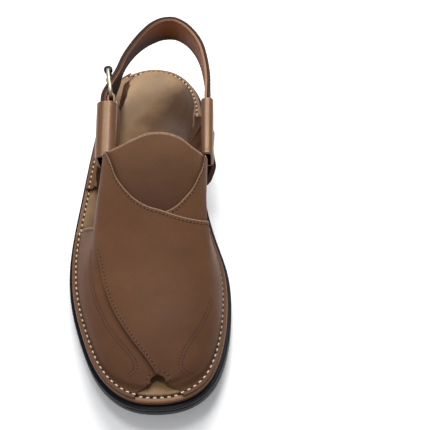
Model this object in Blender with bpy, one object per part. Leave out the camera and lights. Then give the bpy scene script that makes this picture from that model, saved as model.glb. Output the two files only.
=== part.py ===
"""Peshawari chappal, right shoe: a stitched-down leather sandal on a rubber unit sole.

Metres, +Z up. +Y runs to the toe, +X to the wearer's right, which is the buckle side. The origin lies on the
floor, in the middle of the outsole. Every length in a table is a share of a named size.
"""
import math

import bmesh
import bpy
import numpy as np

# Sole, driving sizes
LENGTH = 0.286            # heel to toe of the brown runner, the stitched edge of the midsole
WIDTH = 0.107             # sum of the widest half-widths of the runner
LEDGE = 0.0026            # how far the rubber outsole stands out all round
HEEL_TOP = 0.031          # top of the midsole above the floor at the heel
BALL_TOP = 0.020          # the same at the ball of the foot
TOE_TOP = 0.032           # the same at the tip of the toe
MIDSOLE_THICK = 0.0052
INSOLE_THICK = 0.0016
ARCH_RISE = 0.0085        # gap under the waist, in front of the heel block
TOE_SPRING = 0.0135       # underside of the outsole at the toe
HEEL_BLOCK = 0.075        # length of the heel block
SIDE_STEP = 0.0008        # depth of the line that runs round the outsole
TREAD_PITCH = 0.0125
TREAD_WIDTH = 0.0034
TREAD_DEPTH = 0.0022
GAP = 0.0003              # clearance between neighbouring pieces

# Upper
LEATHER = 0.0019          # one layer of upper leather
FEATHER_INSET = 0.0058    # line where the wall turns out to the flange, inside the runner's edge
TURN = 0.0022             # width of that turn
FLANGE_INSET = 0.0007     # free edge of the flange, inside the runner's edge
BARE_INSET = 0.0044       # edge of the insole inside the runner's edge, where it shows
QUARTER_INSET = 0.0080    # the same beside a quarter
COVERED_INSET = 0.0100    # the same under the vamp
FILLET = 0.0045           # height at which the wall starts to turn out
INSTEP = 0.0630           # height of the foot above the insole at the tie of the straps
BACK_RUN = 0.012          # how far the crown stops short of the toe

# Quarters, strap and buckle
TUBE_LENGTH = 0.040
TUBE_HEIGHT = 0.0236
TUBE_FRONT = 0.440        # place of a tube's front mouth, as a share of length
TUBE_WALL = 0.0018
STRAP_THICK = 0.0040
STRAP_WIDE = 0.0235       # at the back of the heel
STRAP_NARROW = 0.0184     # in the tubes
STRAP_HEIGHT = 0.0785     # middle of the strap at the back
TUBE_TOP = 0.975 * STRAP_HEIGHT     # middle of a tube's rear mouth
TUBE_FALL = 0.153 * STRAP_HEIGHT    # how much lower the front mouth lies
WIRE = 0.0011             # radius of the buckle's wire
BAR_REACH = 0.0033        # from the tube to the buckle's front bar
FRAME_LENGTH = 0.0252     # between its two bars
FRAME_SPLAY = 0.0032      # how much farther out its rear bar stands
PRONG_SLOT = 0.0016       # half the height of the slots that the prong passes
TAB_LEATHER = 0.0013
TAB_WIDTH = 0.0155

STATIONS = 34             # stations along the foot, closer at both ends
LATERAL, MEDIAL = 1, -1


# Runner outline: share of length, lateral and medial half-width as shares of width
OUTLINE = [
    (0.014, 0.155, 0.148),
    (0.052, 0.274, 0.262),
    (0.122, 0.354, 0.341),
    (0.227, 0.395, 0.353),
    (0.350, 0.436, 0.331),
    (0.453, 0.473, 0.346),
    (0.555, 0.508, 0.402),
    (0.605, 0.516, 0.440),
    (0.655, 0.513, 0.472),
    (0.745, 0.476, 0.486),
    (0.832, 0.404, 0.464),
    (0.905, 0.322, 0.416),
    (0.960, 0.214, 0.336),
    (0.990, 0.095, 0.222),
]
TOE_POINT = -0.065        # share of width

# Sections of the foot: share of length, crown height as a share of INSTEP, crown offset as a share of width,
# squareness, and how far the medial and lateral walls swell, as shares of width
SECTIONS = [
    (0.30, 1.375, -0.085, 3.2, 0.036, -0.010),
    (0.39, 1.230, -0.082, 3.1, 0.032, -0.010),
    (0.44, 1.125, -0.080, 3.0, 0.028, -0.010),
    (0.49, 1.005, -0.072, 2.9, 0.018, -0.010),
    (0.56, 0.830, -0.060, 2.7, 0.006, -0.006),
    (0.63, 0.672, -0.054, 2.5, 0.000, 0.002),
    (0.70, 0.545, -0.050, 2.35, 0.003, 0.008),
    (0.785, 0.418, -0.052, 2.25, 0.006, 0.010),
    (0.855, 0.322, -0.055, 2.2, 0.006, 0.008),
    (0.90, 0.250, -0.057, 2.15, 0.004, 0.005),
    (0.94, 0.180, -0.060, 2.1, 0.002, 0.002),
    (0.975, 0.115, -0.063, 2.0, 0.000, 0.000),
    (1.00, 0.065, -0.065, 2.0, 0.000, 0.000),
]

# How far the lateral wall draws in below the panel's edge, beside the lateral quarter: shares of length and width
PINCH = np.array([(0.30, 0.050), (0.50, 0.050), (0.58, 0.046), (0.64, 0.028), (0.70, 0.010), (0.76, 0.000)])

# Edges of the vamp panels: share of length, and share of the way round from the crown (0) to the welt (1)
OVER_EDGE = [(0.452, 0.600), (0.500, 0.635), (0.550, 0.650), (0.600, 0.610), (0.640, 0.530), (0.690, 0.475),
             (0.745, 0.450), (0.810, 0.390), (0.874, 0.270), (0.938, 0.120), (0.978, 0.050)]
OVER_NECK = [(0.455, 0.480), (0.484, 0.390), (0.515, 0.315), (0.545, 0.215), (0.575, 0.090), (0.594, -0.030),
             (0.606, -0.180), (0.610, -0.380), (0.600, -0.600), (0.580, -0.800), (0.557, -1.000)]
OVER_WELT = [(0.557, -1.000), (0.700, -1.000), (0.850, -1.000), (0.940, -1.000), (0.9935, -1.000)]
OVER_TOE = [(0.978, 0.050), (0.987, -0.450), (0.9935, -1.000)]
UNDER_EDGE = [(0.462, -0.600), (0.500, -0.680), (0.550, -0.700), (0.600, -0.660), (0.640, -0.560), (0.690, -0.480),
              (0.745, -0.450), (0.810, -0.390), (0.874, -0.270), (0.938, -0.120), (0.980, -0.050)]
UNDER_NECK = [(0.466, -0.480), (0.490, -0.445), (0.518, -0.370), (0.542, -0.305), (0.565, -0.220), (0.588, -0.120),
              (0.604, 0.020), (0.612, 0.260), (0.612, 0.450), (0.600, 0.620), (0.577, 0.800), (0.546, 1.000)]
UNDER_WELT = [(0.546, 1.000), (0.700, 1.000), (0.850, 1.000), (0.940, 1.000), (0.9955, 1.000)]
UNDER_TOE = [(0.980, -0.050), (0.989, 0.450), (0.9955, 1.000)]
TONGUE_TOP = [(0.452, 0.500), (0.457, 0.320), (0.452, 0.140), (0.445, 0.000), (0.452, -0.140), (0.465, -0.300),
              (0.466, -0.500)]
TONGUE_FRONT = [(0.655, 0.500), (0.665, 0.250), (0.668, 0.000), (0.665, -0.250), (0.655, -0.500)]

# Edge of the lining along each side: share of length and its distance from the runner's edge
LINING_EDGE = {
    LATERAL: [(0.000, BARE_INSET), (0.004, BARE_INSET), (0.014, 1.1 * COVERED_INSET), (0.120, 1.1 * COVERED_INSET),
              (0.200, COVERED_INSET), (0.300, 0.9 * COVERED_INSET), (0.425, 0.9 * COVERED_INSET),
              (0.445, BARE_INSET), (0.522, BARE_INSET), (0.545, COVERED_INSET), (1.000, COVERED_INSET)],
    MEDIAL: [(0.000, BARE_INSET), (0.150, BARE_INSET), (0.190, 0.8 * QUARTER_INSET), (0.422, 0.8 * QUARTER_INSET),
             (0.440, BARE_INSET), (0.532, BARE_INSET), (0.555, COVERED_INSET), (1.000, COVERED_INSET)],
}

# Free part of the heel strap, middle line seen from above: shares of width (x) and length (y), then height as a
# share of STRAP_HEIGHT, width between STRAP_NARROW (0) and STRAP_WIDE (1), and how far the top edge leans inward
STRAP_LOOP = [
    (-0.408, 0.228, 0.990, 0.2, 0.00),
    (-0.395, 0.172, 0.995, 0.4, 0.00),
    (-0.370, 0.122, 1.000, 0.6, 0.02),
    (-0.322, 0.077, 1.000, 0.8, 0.08),
    (-0.259, 0.043, 1.000, 1.0, 0.14),
    (-0.183, 0.023, 1.000, 1.0, 0.17),
    (-0.104, 0.023, 1.000, 1.0, 0.20),
    (-0.020, 0.040, 1.000, 1.0, 0.24),
    (0.055, 0.070, 1.000, 0.6, 0.28),
    (0.122, 0.110, 0.999, 0.3, 0.30),
    (0.174, 0.156, 0.998, 0.1, 0.26),
]


def remove_everything():
    for old in list(bpy.data.objects):
        bpy.data.objects.remove(old, do_unlink=True)


def material(name, colour, roughness, metallic=0.0):
    made = bpy.data.materials.new(name)
    made.use_nodes = True
    shader = made.node_tree.nodes["Principled BSDF"]
    shader.inputs["Base Color"].default_value = (*colour, 1.0)
    shader.inputs["Roughness"].default_value = roughness
    shader.inputs["Metallic"].default_value = metallic
    return made


def hermite(places, values, at):
    """Smooth curve through rows of values."""
    m = np.gradient(values, places, axis=0)
    at = np.clip(at, places[0], places[-1])
    i = np.clip(np.searchsorted(places, at, side="right") - 1, 0, len(places) - 2)
    h = places[i + 1] - places[i]
    t = (at - places[i]) / h
    if values.ndim > 1:
        h = h[:, None]
        t = t[:, None]
    a = 2 * t**3 - 3 * t**2 + 1
    b = (t**3 - 2 * t**2 + t) * h
    c = (t**3 - t**2) * h
    return a * values[i] + b * m[i] + (1 - a) * values[i + 1] + c * m[i + 1]


def through(rows, count, scale=(1.0, 0.25)):
    """Evenly spaced points on a smooth curve through the rows of a table."""
    rows = np.array(rows, float)
    steps = np.linalg.norm(np.diff(rows[:, :2] * scale, axis=0), axis=1)
    run = np.concatenate([[0.0], np.cumsum(steps)])
    return hermite(run, rows, np.linspace(0.0, run[-1], count))


def closed_curve(points, per_span):
    """Closed cubic spline through points, with even curvature at every point."""
    points = np.array(points, float)
    count = len(points)
    chord = np.linalg.norm(np.roll(points, -1, 0) - points, axis=1)
    system = np.zeros((count, count))
    right = np.zeros((count, 2))
    for i in range(count):
        before, after = chord[i - 1], chord[i]
        ahead = (i + 1) % count
        system[i, i - 1] += after
        system[i, i] += 2 * (before + after)
        system[i, ahead] += before
        step_in = (points[i] - points[i - 1]) / before
        step_out = (points[ahead] - points[i]) / after
        right[i] = 3 * (after * step_in + before * step_out)
    tangents = np.linalg.solve(system, right)
    pieces = []
    for i in range(count):
        ahead = (i + 1) % count
        h = chord[i]
        t = np.linspace(0.0, 1.0, per_span, endpoint=False)[:, None]
        a = 2 * t**3 - 3 * t**2 + 1
        b = (t**3 - 2 * t**2 + t) * h
        c = (t**3 - t**2) * h
        pieces.append(a * points[i] + b * tangents[i] + (1 - a) * points[ahead] + c * tangents[ahead])
    return np.vstack(pieces)


def runner_sides():
    """Points and outward normals of the runner's edge, heel to toe, for each side."""
    per_span = 24
    lateral = [(wide * WIDTH, share * LENGTH) for share, wide, narrow in OUTLINE]
    medial = [(-narrow * WIDTH, share * LENGTH) for share, wide, narrow in OUTLINE]
    points = [(0.0, 0.0)] + lateral + [(TOE_POINT * WIDTH, LENGTH)] + medial[::-1]
    curve = closed_curve(points, per_span)
    along = np.roll(curve, -1, 0) - np.roll(curve, 1, 0)
    normals = np.stack([along[:, 1], -along[:, 0]], axis=1)
    normals /= np.linalg.norm(normals, axis=1)[:, None]
    half = (len(OUTLINE) + 1) * per_span
    right = (curve[:half + 1], normals[:half + 1])
    left = (np.vstack([curve[half:], curve[:1]])[::-1], np.vstack([normals[half:], normals[:1]])[::-1])
    return {LATERAL: right, MEDIAL: left}


SIDES = runner_sides()


def edge(share, side, offset):
    """Point at a share of the length, offset outward from the runner's edge."""
    points, normals = SIDES[side]
    shares = np.maximum.accumulate(points[:, 1] / LENGTH)
    moved = [np.interp(share, shares, points[:, k]) + np.interp(share, shares, normals[:, k]) * offset
             for k in (0, 1)]
    return moved[0], moved[1]


def ease(value):
    value = np.clip(value, 0.0, 1.0)
    return value * value * (3 - 2 * value)


def midsole_top(y):
    share = y / LENGTH
    fall = (BALL_TOP - HEEL_TOP) * ease((share - 0.25) / 0.40)
    rise = (TOE_TOP - BALL_TOP) * np.clip((share - 0.68) / 0.32, 0.0, 1.1)**1.8
    return HEEL_TOP + fall + rise


def outsole_bottom(y):
    share = y / LENGTH
    breast = HEEL_BLOCK / LENGTH
    back = 0.0015 * np.clip((0.03 - share) / 0.03, 0.0, 1.0)**2
    arch = ARCH_RISE * np.clip((share - breast) / 0.010, 0.0, 1.0) * (1 - ease((share - breast - 0.06) / 0.19))
    spring = TOE_SPRING * np.clip((share - 0.70) / 0.30, 0.0, 1.1)**1.7
    return back + arch + spring


def outsole_top(y):
    return midsole_top(y) - MIDSOLE_THICK - GAP


def stations():
    shares = (1 - np.cos(np.linspace(0.0, math.pi, STATIONS + 1))) / 2
    breast = HEEL_BLOCK / LENGTH
    extra = [breast, breast + 0.010]
    kept = [share for share in shares if min(abs(share - place) for place in extra) > 0.008]
    return np.array(sorted(kept + extra))


# Meshes

def add_object(name, vertices, faces, finish, smooth_angle=35.0):
    mesh = bpy.data.meshes.new(name)
    mesh.from_pydata([tuple(map(float, v)) for v in vertices], [], faces)
    mesh.validate()
    made = bpy.data.objects.new(name, mesh)
    bpy.context.scene.collection.objects.link(made)
    mesh.materials.append(finish)
    work = bmesh.new()
    work.from_mesh(mesh)
    bmesh.ops.remove_doubles(work, verts=work.verts, dist=0.000001)
    bmesh.ops.triangulate(work, faces=[face for face in work.faces if len(face.verts) > 3])
    bmesh.ops.recalc_face_normals(work, faces=work.faces)
    work.to_mesh(mesh)
    work.free()
    mesh.shade_smooth()
    mesh.set_sharp_from_angle(angle=math.radians(smooth_angle))
    return made


def ring(offset, height):
    """One loop round the sole. Offset and height may be functions."""
    shares = stations()
    loop = []
    for side, order in ((LATERAL, shares), (MEDIAL, shares[-2:0:-1])):
        for share in order:
            out = offset(share, side) if callable(offset) else offset
            x, y = edge(share, side, out)
            loop.append((x, y, height(y)))
    return loop


def stack(name, rings, finish):
    """Solid between rings, closed at both ends by strips that join the two sides."""
    count = len(rings[0])
    vertices = [point for loop in rings for point in loop]
    faces = []
    for level in range(len(rings) - 1):
        low, high = level * count, (level + 1) * count
        for i in range(count):
            j = (i + 1) % count
            faces.append((low + i, low + j, high + j, high + i))
    half = count // 2
    for base in (0, (len(rings) - 1) * count):
        for i in range(half):
            right, right_next = base + i, base + i + 1
            left, left_next = base + (count - i) % count, base + count - i - 1
            corners = []
            for corner in (right, right_next, left_next, left):
                if corner not in corners:
                    corners.append(corner)
            faces.append(tuple(corners))
    return add_object(name, vertices, faces, finish)


def cutter(made):
    made.hide_render = True
    made.display_type = "WIRE"
    return made


def boolean(target, tool, operation):
    cutter(tool)
    step = target.modifiers.new(operation.lower() + "_" + tool.name, "BOOLEAN")
    step.operation = operation
    step.solver = "EXACT"
    step.object = tool


def box_vertices(low, high):
    corners = [(x, y, z) for x in (low[0], high[0]) for y in (low[1], high[1]) for z in (low[2], high[2])]
    faces = [(0, 1, 3, 2), (4, 6, 7, 5), (0, 4, 5, 1), (2, 3, 7, 6), (0, 2, 6, 4), (1, 5, 7, 3)]
    return corners, faces


# Sole pieces

def tread_cutter(finish):
    """Grooves across the heel block and the forefoot."""
    vertices, faces = [], []
    heel = np.arange(0.30 * HEEL_BLOCK, 0.95 * HEEL_BLOCK, TREAD_PITCH)
    fore = np.arange(0.52 * LENGTH, 0.96 * LENGTH, TREAD_PITCH)
    for middle in list(heel) + list(fore):
        top = float(max(outsole_bottom(middle - TREAD_WIDTH / 2), outsole_bottom(middle + TREAD_WIDTH / 2)))
        low = (-WIDTH, middle - TREAD_WIDTH / 2, top - 0.01)
        high = (WIDTH, middle + TREAD_WIDTH / 2, top + TREAD_DEPTH)
        corners, sides = box_vertices(low, high)
        faces += [tuple(len(vertices) + k for k in side) for side in sides]
        vertices += corners
    return add_object("tread_cutter", vertices, faces, finish)


def build_outsole(finish):
    line = 0.0034
    rows = [
        (LEDGE - 0.0030, lambda y: outsole_bottom(y)),
        (LEDGE - 0.0011, lambda y: outsole_bottom(y) + 0.0014),
        (LEDGE, lambda y: outsole_bottom(y) + 0.0042),
        (LEDGE, lambda y: outsole_top(y) - line - 0.0010),
        (LEDGE - SIDE_STEP, lambda y: outsole_top(y) - line - 0.0006),
        (LEDGE - SIDE_STEP, lambda y: outsole_top(y) - line),
        (LEDGE, lambda y: outsole_top(y) - line + 0.0004),
        (LEDGE, lambda y: outsole_top(y) - 0.0011),
        (LEDGE - 0.0010, lambda y: outsole_top(y)),
    ]
    made = stack("outsole", [ring(offset, height) for offset, height in rows], finish)
    boolean(made, tread_cutter(finish), "DIFFERENCE")
    return made


def build_midsole(finish):
    rows = [
        (-0.0006, lambda y: midsole_top(y) - MIDSOLE_THICK),
        (0.0, lambda y: midsole_top(y) - MIDSOLE_THICK + 0.0010),
        (0.0, lambda y: midsole_top(y) - 0.0012),
        (-0.0005, lambda y: midsole_top(y) - 0.0003),
        (-0.0014, lambda y: midsole_top(y)),
    ]
    return stack("midsole", [ring(offset, height) for offset, height in rows], finish)


def insole_inset(share, side):
    """The lining reaches the stitches where nothing covers them and stops at the walls elsewhere."""
    rows = np.array(LINING_EDGE[side])
    return -float(np.interp(share, rows[:, 0], rows[:, 1]))


def build_insole(finish):
    rows = [
        (0.0, GAP),
        (0.0, GAP + INSOLE_THICK - 0.0005),
        (-0.0005, GAP + INSOLE_THICK),
    ]
    rings = []
    for step, lift in rows:
        rings.append(ring(lambda share, side, step=step: insole_inset(share, side) + step,
                          lambda y, lift=lift: midsole_top(y) + lift))
    return stack("insole", rings, finish)


# The foot's surface, which the vamp follows

TABLE = np.array(SECTIONS)


def section(share):
    values = hermite(TABLE[:, 0], TABLE[:, 1:], np.atleast_1d(np.asarray(share, float)))
    return values[:, 0], values[:, 1], values[:, 2], values[:, 3], values[:, 4]


def foot(share, around):
    """Point on the foot. Around runs from the crown, 0, to the wall's foot, 1, on the lateral side and to -1 on
    the medial side; from 1 to 1.5 the wall turns out, and from 1.5 to 2 it lies flat on the midsole."""
    share = np.atleast_1d(np.asarray(share, float))
    around = np.atleast_1d(np.asarray(around, float))
    height, crown, square, swell_medial, swell_lateral = section(share)
    height = height * INSTEP
    lateral_x, lateral_y = edge(share, LATERAL, -FEATHER_INSET)
    medial_x, medial_y = edge(share, MEDIAL, -FEATHER_INSET)
    is_lateral = around >= 0
    side = np.where(is_lateral, 1.0, -1.0)
    size = np.abs(around)
    stop = np.arccos(np.clip(FILLET / height, 0.0, 0.9)**(square / 2))
    angle = np.minimum(size, 1.0) * stop
    out = np.sin(angle)**(2 / square)
    up = np.cos(angle)**(2 / square)
    middle = (lateral_x + medial_x) / 2
    half = (lateral_x - medial_x) / 2
    centre = middle + (crown * WIDTH - middle) * up
    swell = np.where(is_lateral, swell_lateral, swell_medial) * WIDTH
    crown_y = share * LENGTH - BACK_RUN * np.clip((share - 0.80) / 0.20, 0.0, 1.0)**2
    edge_x = np.where(is_lateral, lateral_x, medial_x)
    edge_y = np.where(is_lateral, lateral_y, medial_y)
    pinch = np.interp(share, PINCH[:, 0], PINCH[:, 1]) * WIDTH * np.sin(np.pi * np.clip(2 * around - 1, 0.0, 1.0))
    x = centre + side * (half * out + swell * np.sin(2 * angle)) - pinch
    y = crown_y + (edge_y - crown_y) * out
    z = midsole_top(y) + GAP + height * up
    wall = np.stack([x, y, z], axis=1)
    corner = np.stack([edge_x, edge_y, midsole_top(edge_y) + GAP], axis=1)
    turned = []
    for offset in (-FEATHER_INSET + TURN, -FLANGE_INSET):
        pair = {s: edge(share, s, offset) for s in (LATERAL, MEDIAL)}
        px = np.where(is_lateral, pair[LATERAL][0], pair[MEDIAL][0])
        py = np.where(is_lateral, pair[LATERAL][1], pair[MEDIAL][1])
        turned.append(np.stack([px, py, midsole_top(py) + GAP], axis=1))
    t = np.clip((size - 1.0) / 0.5, 0.0, 1.0)[:, None]
    bend = wall * (1 - t)**2 + corner * 2 * t * (1 - t) + turned[0] * t**2
    t = np.clip((size - 1.5) / 0.5, 0.0, 1.0)[:, None]
    flat = turned[0] * (1 - t) + turned[1] * t
    flat[:, 2] = midsole_top(flat[:, 1]) + GAP
    size = size[:, None]
    return np.where(size <= 1.0, wall, np.where(size <= 1.5, bend, flat))


def foot_normal(share, around):
    step = 0.004
    along = foot(np.minimum(share + step, 0.9985), around) - foot(share - step, around)
    over = foot(share, np.minimum(around + step * 4, 2.0)) - foot(share, np.maximum(around - step * 4, -2.0))
    normal = np.cross(over, along)
    return normal / np.linalg.norm(normal, axis=1)[:, None]


def coons(neck, toe, edge_line, welt, rows, columns):
    """Grid between four edges. Rows run from the neck to the toe, columns from the free edge to the welt."""
    u = np.linspace(0.0, 1.0, rows)[:, None, None]
    v = np.linspace(0.0, 1.0, columns)[None, :, None]
    neck, toe = neck[None, :, :], toe[None, :, :]
    edge_line, welt = edge_line[:, None, :], welt[:, None, :]
    ruled_u = (1 - u) * neck + u * toe
    ruled_v = (1 - v) * edge_line + v * welt
    corners = ((1 - u) * (1 - v) * neck[:, :1] + (1 - u) * v * neck[:, -1:] +
               u * (1 - v) * toe[:, :1] + u * v * toe[:, -1:])
    return ruled_u + ruled_v - corners


def slab(name, grid, inner, outer, finish):
    """Sheet of leather on a grid of places, between two distances from the foot."""
    rows, columns = grid.shape[:2]
    places = grid.reshape(-1, 2)
    base = foot(places[:, 0], places[:, 1])
    normal = foot_normal(places[:, 0], places[:, 1])
    low = base + normal * inner.reshape(-1, 1)
    high = base + normal * outer.reshape(-1, 1)
    return sheet(name, low.reshape(rows, columns, 3), high.reshape(rows, columns, 3), finish)


def sheet(name, low, high, finish):
    """Closed solid between two grids of points."""
    rows, columns = low.shape[:2]
    count = rows * columns
    vertices = np.vstack([low.reshape(-1, 3), high.reshape(-1, 3)])
    faces = []
    for i in range(rows - 1):
        for j in range(columns - 1):
            a = i * columns + j
            b, c, d = a + 1, a + columns + 1, a + columns
            faces.append((a, b, c, d))
            faces.append((count + a, count + d, count + c, count + b))
    rim = [(i, 0) for i in range(rows)] + [(rows - 1, j) for j in range(1, columns)]
    rim += [(i, columns - 1) for i in range(rows - 2, -1, -1)] + [(0, j) for j in range(columns - 2, 0, -1)]
    line = [i * columns + j for i, j in rim]
    for a, b in zip(line, line[1:] + line[:1]):
        faces.append((a, b, count + b, count + a))
    return add_object(name, vertices, faces, finish)


def vamp_panel(name, tables, side, levels, finish):
    """One vamp panel: side is the side of the welt that it is sewn to."""
    edge_rows, neck_rows, welt_rows, toe_rows = tables
    rows, columns = 27, 15
    tip = 3
    free_end = through([edge_rows[0], neck_rows[0]], tip)
    neck = np.vstack([free_end[:-1], through(neck_rows, columns - tip + 1)])
    grid = coons(neck, through(toe_rows, columns), through(edge_rows, rows), through(welt_rows, rows), rows, columns)
    turn = [np.stack([grid[:, -1, 0], np.full(rows, side * place)], axis=1) for place in (1.2, 1.35, 1.5, 2.0)]
    grid = np.concatenate([grid] + [extra[:, None, :] for extra in turn], axis=1)
    across = np.minimum(np.arange(grid.shape[1]) / (columns - 1), 1.0)[None, :]
    along = np.linspace(0.0, 1.0, rows)[:, None]
    neck_inner, neck_outer, body_inner, body_outer = levels
    settle = ease(along / 0.35)
    inner = neck_inner + (body_inner - neck_inner) * settle
    outer = neck_outer + (body_outer - neck_outer) * settle
    to_welt = ease((across - 0.55) / 0.40)
    inner = inner * (1 - to_welt)
    outer = outer * (1 - to_welt) + LEATHER * to_welt
    return slab(name, grid, inner, outer, finish)


def build_upper(finish):
    over_levels = (1.10 * LEATHER, 2.30 * LEATHER, 0.50 * LEATHER, 2.00 * LEATHER)
    under_levels = (0.40 * LEATHER, 1.50 * LEATHER, 0.0, LEATHER)
    over = vamp_panel("upper", (OVER_EDGE, OVER_NECK, OVER_WELT, OVER_TOE), MEDIAL, over_levels, finish)
    under = vamp_panel("under_panel", (UNDER_EDGE, UNDER_NECK, UNDER_WELT, UNDER_TOE), LATERAL, under_levels, finish)
    rows, columns = 9, 13
    top, front = through(TONGUE_TOP, columns), through(TONGUE_FRONT, columns)
    u = np.linspace(0.0, 1.0, rows)[:, None, None]
    grid = (1 - u) * top[None] + u * front[None]
    flat = np.zeros((rows, columns))
    tongue = slab("tongue", grid, flat, flat + 0.85 * LEATHER, finish)
    boolean(over, under, "UNION")
    boolean(over, tongue, "UNION")
    return over


# Quarters

def tube_axis(side):
    """Front and rear middle of a tube."""
    place = {LATERAL: (0.260, 0.252), MEDIAL: (-0.388, -0.402)}[side]
    front_y = TUBE_FRONT * LENGTH
    front = np.array([place[0] * WIDTH, front_y, TUBE_TOP - TUBE_FALL])
    rear = np.array([place[1] * WIDTH, front_y - TUBE_LENGTH, TUBE_TOP])
    return front, rear


def tube_point(side, run, across):
    """Point along a tube: run is 0 at its front mouth and 1 at its rear one, across counts outward."""
    front, rear = tube_axis(side)
    return front * (1 - run) + rear * run + np.array([side * across, 0.0, 0.0])


def tube_room(side):
    """Half thickness and half height of the room inside a tube."""
    strap = STRAP_THICK / 2 + 1.5 * GAP
    tab = TAB_LEATHER + WIRE + 2.5 * GAP
    return (strap + tab if side == LATERAL else strap), TUBE_HEIGHT / 2 - TUBE_WALL


def oblong(thick, tall, bend, per_corner=5):
    """Flat oblong with round corners: thickness along the first axis."""
    points = []
    for x, y, start in ((1, 1, 0), (-1, 1, 90), (-1, -1, 180), (1, -1, 270)):
        for angle in np.radians(np.linspace(start, start + 90, per_corner)):
            points.append((x * (thick - bend) + bend * math.cos(angle), y * (tall - bend) + bend * math.sin(angle)))
    return np.array(points)


def tube_profile(side, depth):
    """Outline in a tube's wall: depth is 0 at the room inside and 1 at the outer face, which is much rounder."""
    thick, tall = tube_room(side)
    inner_bend = 0.30 * thick
    outer_bend = 0.80 * (thick + TUBE_WALL)
    return oblong(thick + depth * TUBE_WALL, tall + depth * TUBE_WALL, inner_bend + (outer_bend - inner_bend) * depth)


def build_tube(name, side, finish):
    front, rear = tube_axis(side)
    inner, outer = tube_profile(side, 0.0), tube_profile(side, 1.0)
    along = (rear - front) / np.linalg.norm(rear - front)
    across = np.cross(along, (0.0, 0.0, 1.0))
    across /= np.linalg.norm(across)
    up = np.cross(across, along)
    count = len(inner)
    places = np.linspace(0.0, 1.0, 5)
    vertices, faces = [], []
    for profile in (outer, inner):
        for t in places:
            middle = front * (1 - t) + rear * t
            vertices += [middle + across * a + up * b for a, b in profile]
    last = len(places) - 1
    shift = count * len(places)
    for i in range(count):
        j = (i + 1) % count
        for k in range(last):
            a, b = k * count, (k + 1) * count
            faces.append((a + i, a + j, b + j, b + i))
            faces.append((shift + a + i, shift + b + i, shift + b + j, shift + a + j))
        faces.append((i, shift + i, shift + j, j))
        end = last * count
        faces.append((end + i, end + j, shift + end + j, shift + end + i))
    return add_object(name, vertices, faces, finish)


# Base of each quarter along the welt, front then rear, as shares of length, and swell of its rear edge
QUARTER_BASE = {LATERAL: (0.420, 0.019, 0.0), MEDIAL: (0.418, 0.190, 0.02)}
# Wall at the front edge: height as a share, share of the way from the welt to the tube, and swell outward as a
# share of width
QUARTER_WALL = {
    LATERAL: [(0.00, 0.00, 0.000), (0.06, 0.30, -0.003), (0.16, 0.68, -0.008), (0.30, 0.92, -0.013),
              (0.48, 1.00, -0.016), (0.68, 1.00, -0.015), (0.88, 1.00, -0.009), (1.00, 1.00, 0.000)],
    MEDIAL: [(0.00, 0.00, 0.000), (0.10, 0.20, 0.018), (0.25, 0.45, 0.040), (0.50, 0.72, 0.022),
             (0.75, 0.93, 0.004), (0.90, 1.00, 0.001), (1.00, 1.00, 0.000)],
}
# How far the front edge moves toward the toe up its height, as shares of length
SCALLOP = np.array([(0.0, 0.0), (0.12, 0.002), (0.28, 0.014), (0.45, 0.004), (0.62, -0.012), (0.84, -0.024),
                    (1.0, -0.004)])


def back_reach(side, height):
    """How far in the rear edge stands at a height: the lateral wall flares out low down, the medial one is even."""
    return 1 - (1 - min(height / 0.22, 1.0))**2 if side == LATERAL else height


def tube_seam(side, back):
    """Line in the tube's wall, from its outer side at the front mouth round under it to the inner side at the
    rear mouth."""
    tall = tube_room(side)[1]
    lines = []
    for depth in (0.1, 0.9):
        profile = tube_profile(side, depth)
        start = np.array([[profile[:, 0].max(), -0.25 * tall]])
        lines.append(np.vstack([start, profile[15:20][::-1], profile[13:15][::-1]]))
    run = np.concatenate([[0.0], np.cumsum(np.linalg.norm(np.diff(lines[0], axis=0), axis=1))])
    place = run[-1] * back**1.3
    points = []
    for k in range(2):
        near, far = (np.interp(place, run, line[:, k]) for line in lines)
        points.append(near + (far - near) * back)
    return np.stack([side * points[0], np.zeros(len(back)), points[1]], axis=1)


def build_quarter(name, side, finish):
    """Wall from the flange up to the strap's tube, with the tube joined on."""
    rows, columns = 17, 17
    start, end, back_swell = QUARTER_BASE[side]
    shares = np.linspace(start, end, rows)
    grid = []
    for offset in (-FLANGE_INSET, -FEATHER_INSET + TURN, -FEATHER_INSET):
        x, y = edge(shares, side, offset)
        grid.append(np.stack([x, y, midsole_top(y) + GAP], axis=1))
    corner = grid.pop()
    back = np.linspace(0.0, 1.0, rows)
    top = np.array([tube_point(side, 0.02 + 0.96 * t, 0.0) for t in back]) + tube_seam(side, back)
    heights = np.linspace(0.06, 1.0, columns - 2)
    wall = np.array(QUARTER_WALL[side])
    shape = hermite(wall[:, 0], wall[:, 1:], heights)
    forward = hermite(SCALLOP[:, 0], SCALLOP[:, 1], heights) * LENGTH
    for height, (inward, swell), move in zip(heights, shape, forward):
        point = corner + (top - corner) * height
        reach = inward + (back_reach(side, height) - inward) * back
        bulge = swell * (1 - back) + back_swell * 4 * height * (1 - height) * back
        point[:, 0] = corner[:, 0] + (top - corner)[:, 0] * reach + side * WIDTH * bulge
        point[:, 1] += move * (1 - back)**3
        grid.append(point)
    low = np.stack(grid, axis=1)
    normal = np.cross(np.gradient(low, axis=1), np.gradient(low, axis=0)) * side
    normal /= np.linalg.norm(normal, axis=2)[:, :, None]
    normal[:, :1] = (0.0, 0.0, 1.0)
    thickness = np.full(low.shape[:2], 2 * LEATHER)
    thickness[:, :2] = LEATHER
    thickness[:, 2:] += (0.8 * TUBE_WALL - 2 * LEATHER) * ease((heights - 0.50) / 0.40)
    high = low + normal * thickness[:, :, None]
    made = sheet(name, low, high, finish)
    boolean(made, build_tube(name + "_tube", side, finish), "UNION")
    return made


# Strap and buckle

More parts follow.
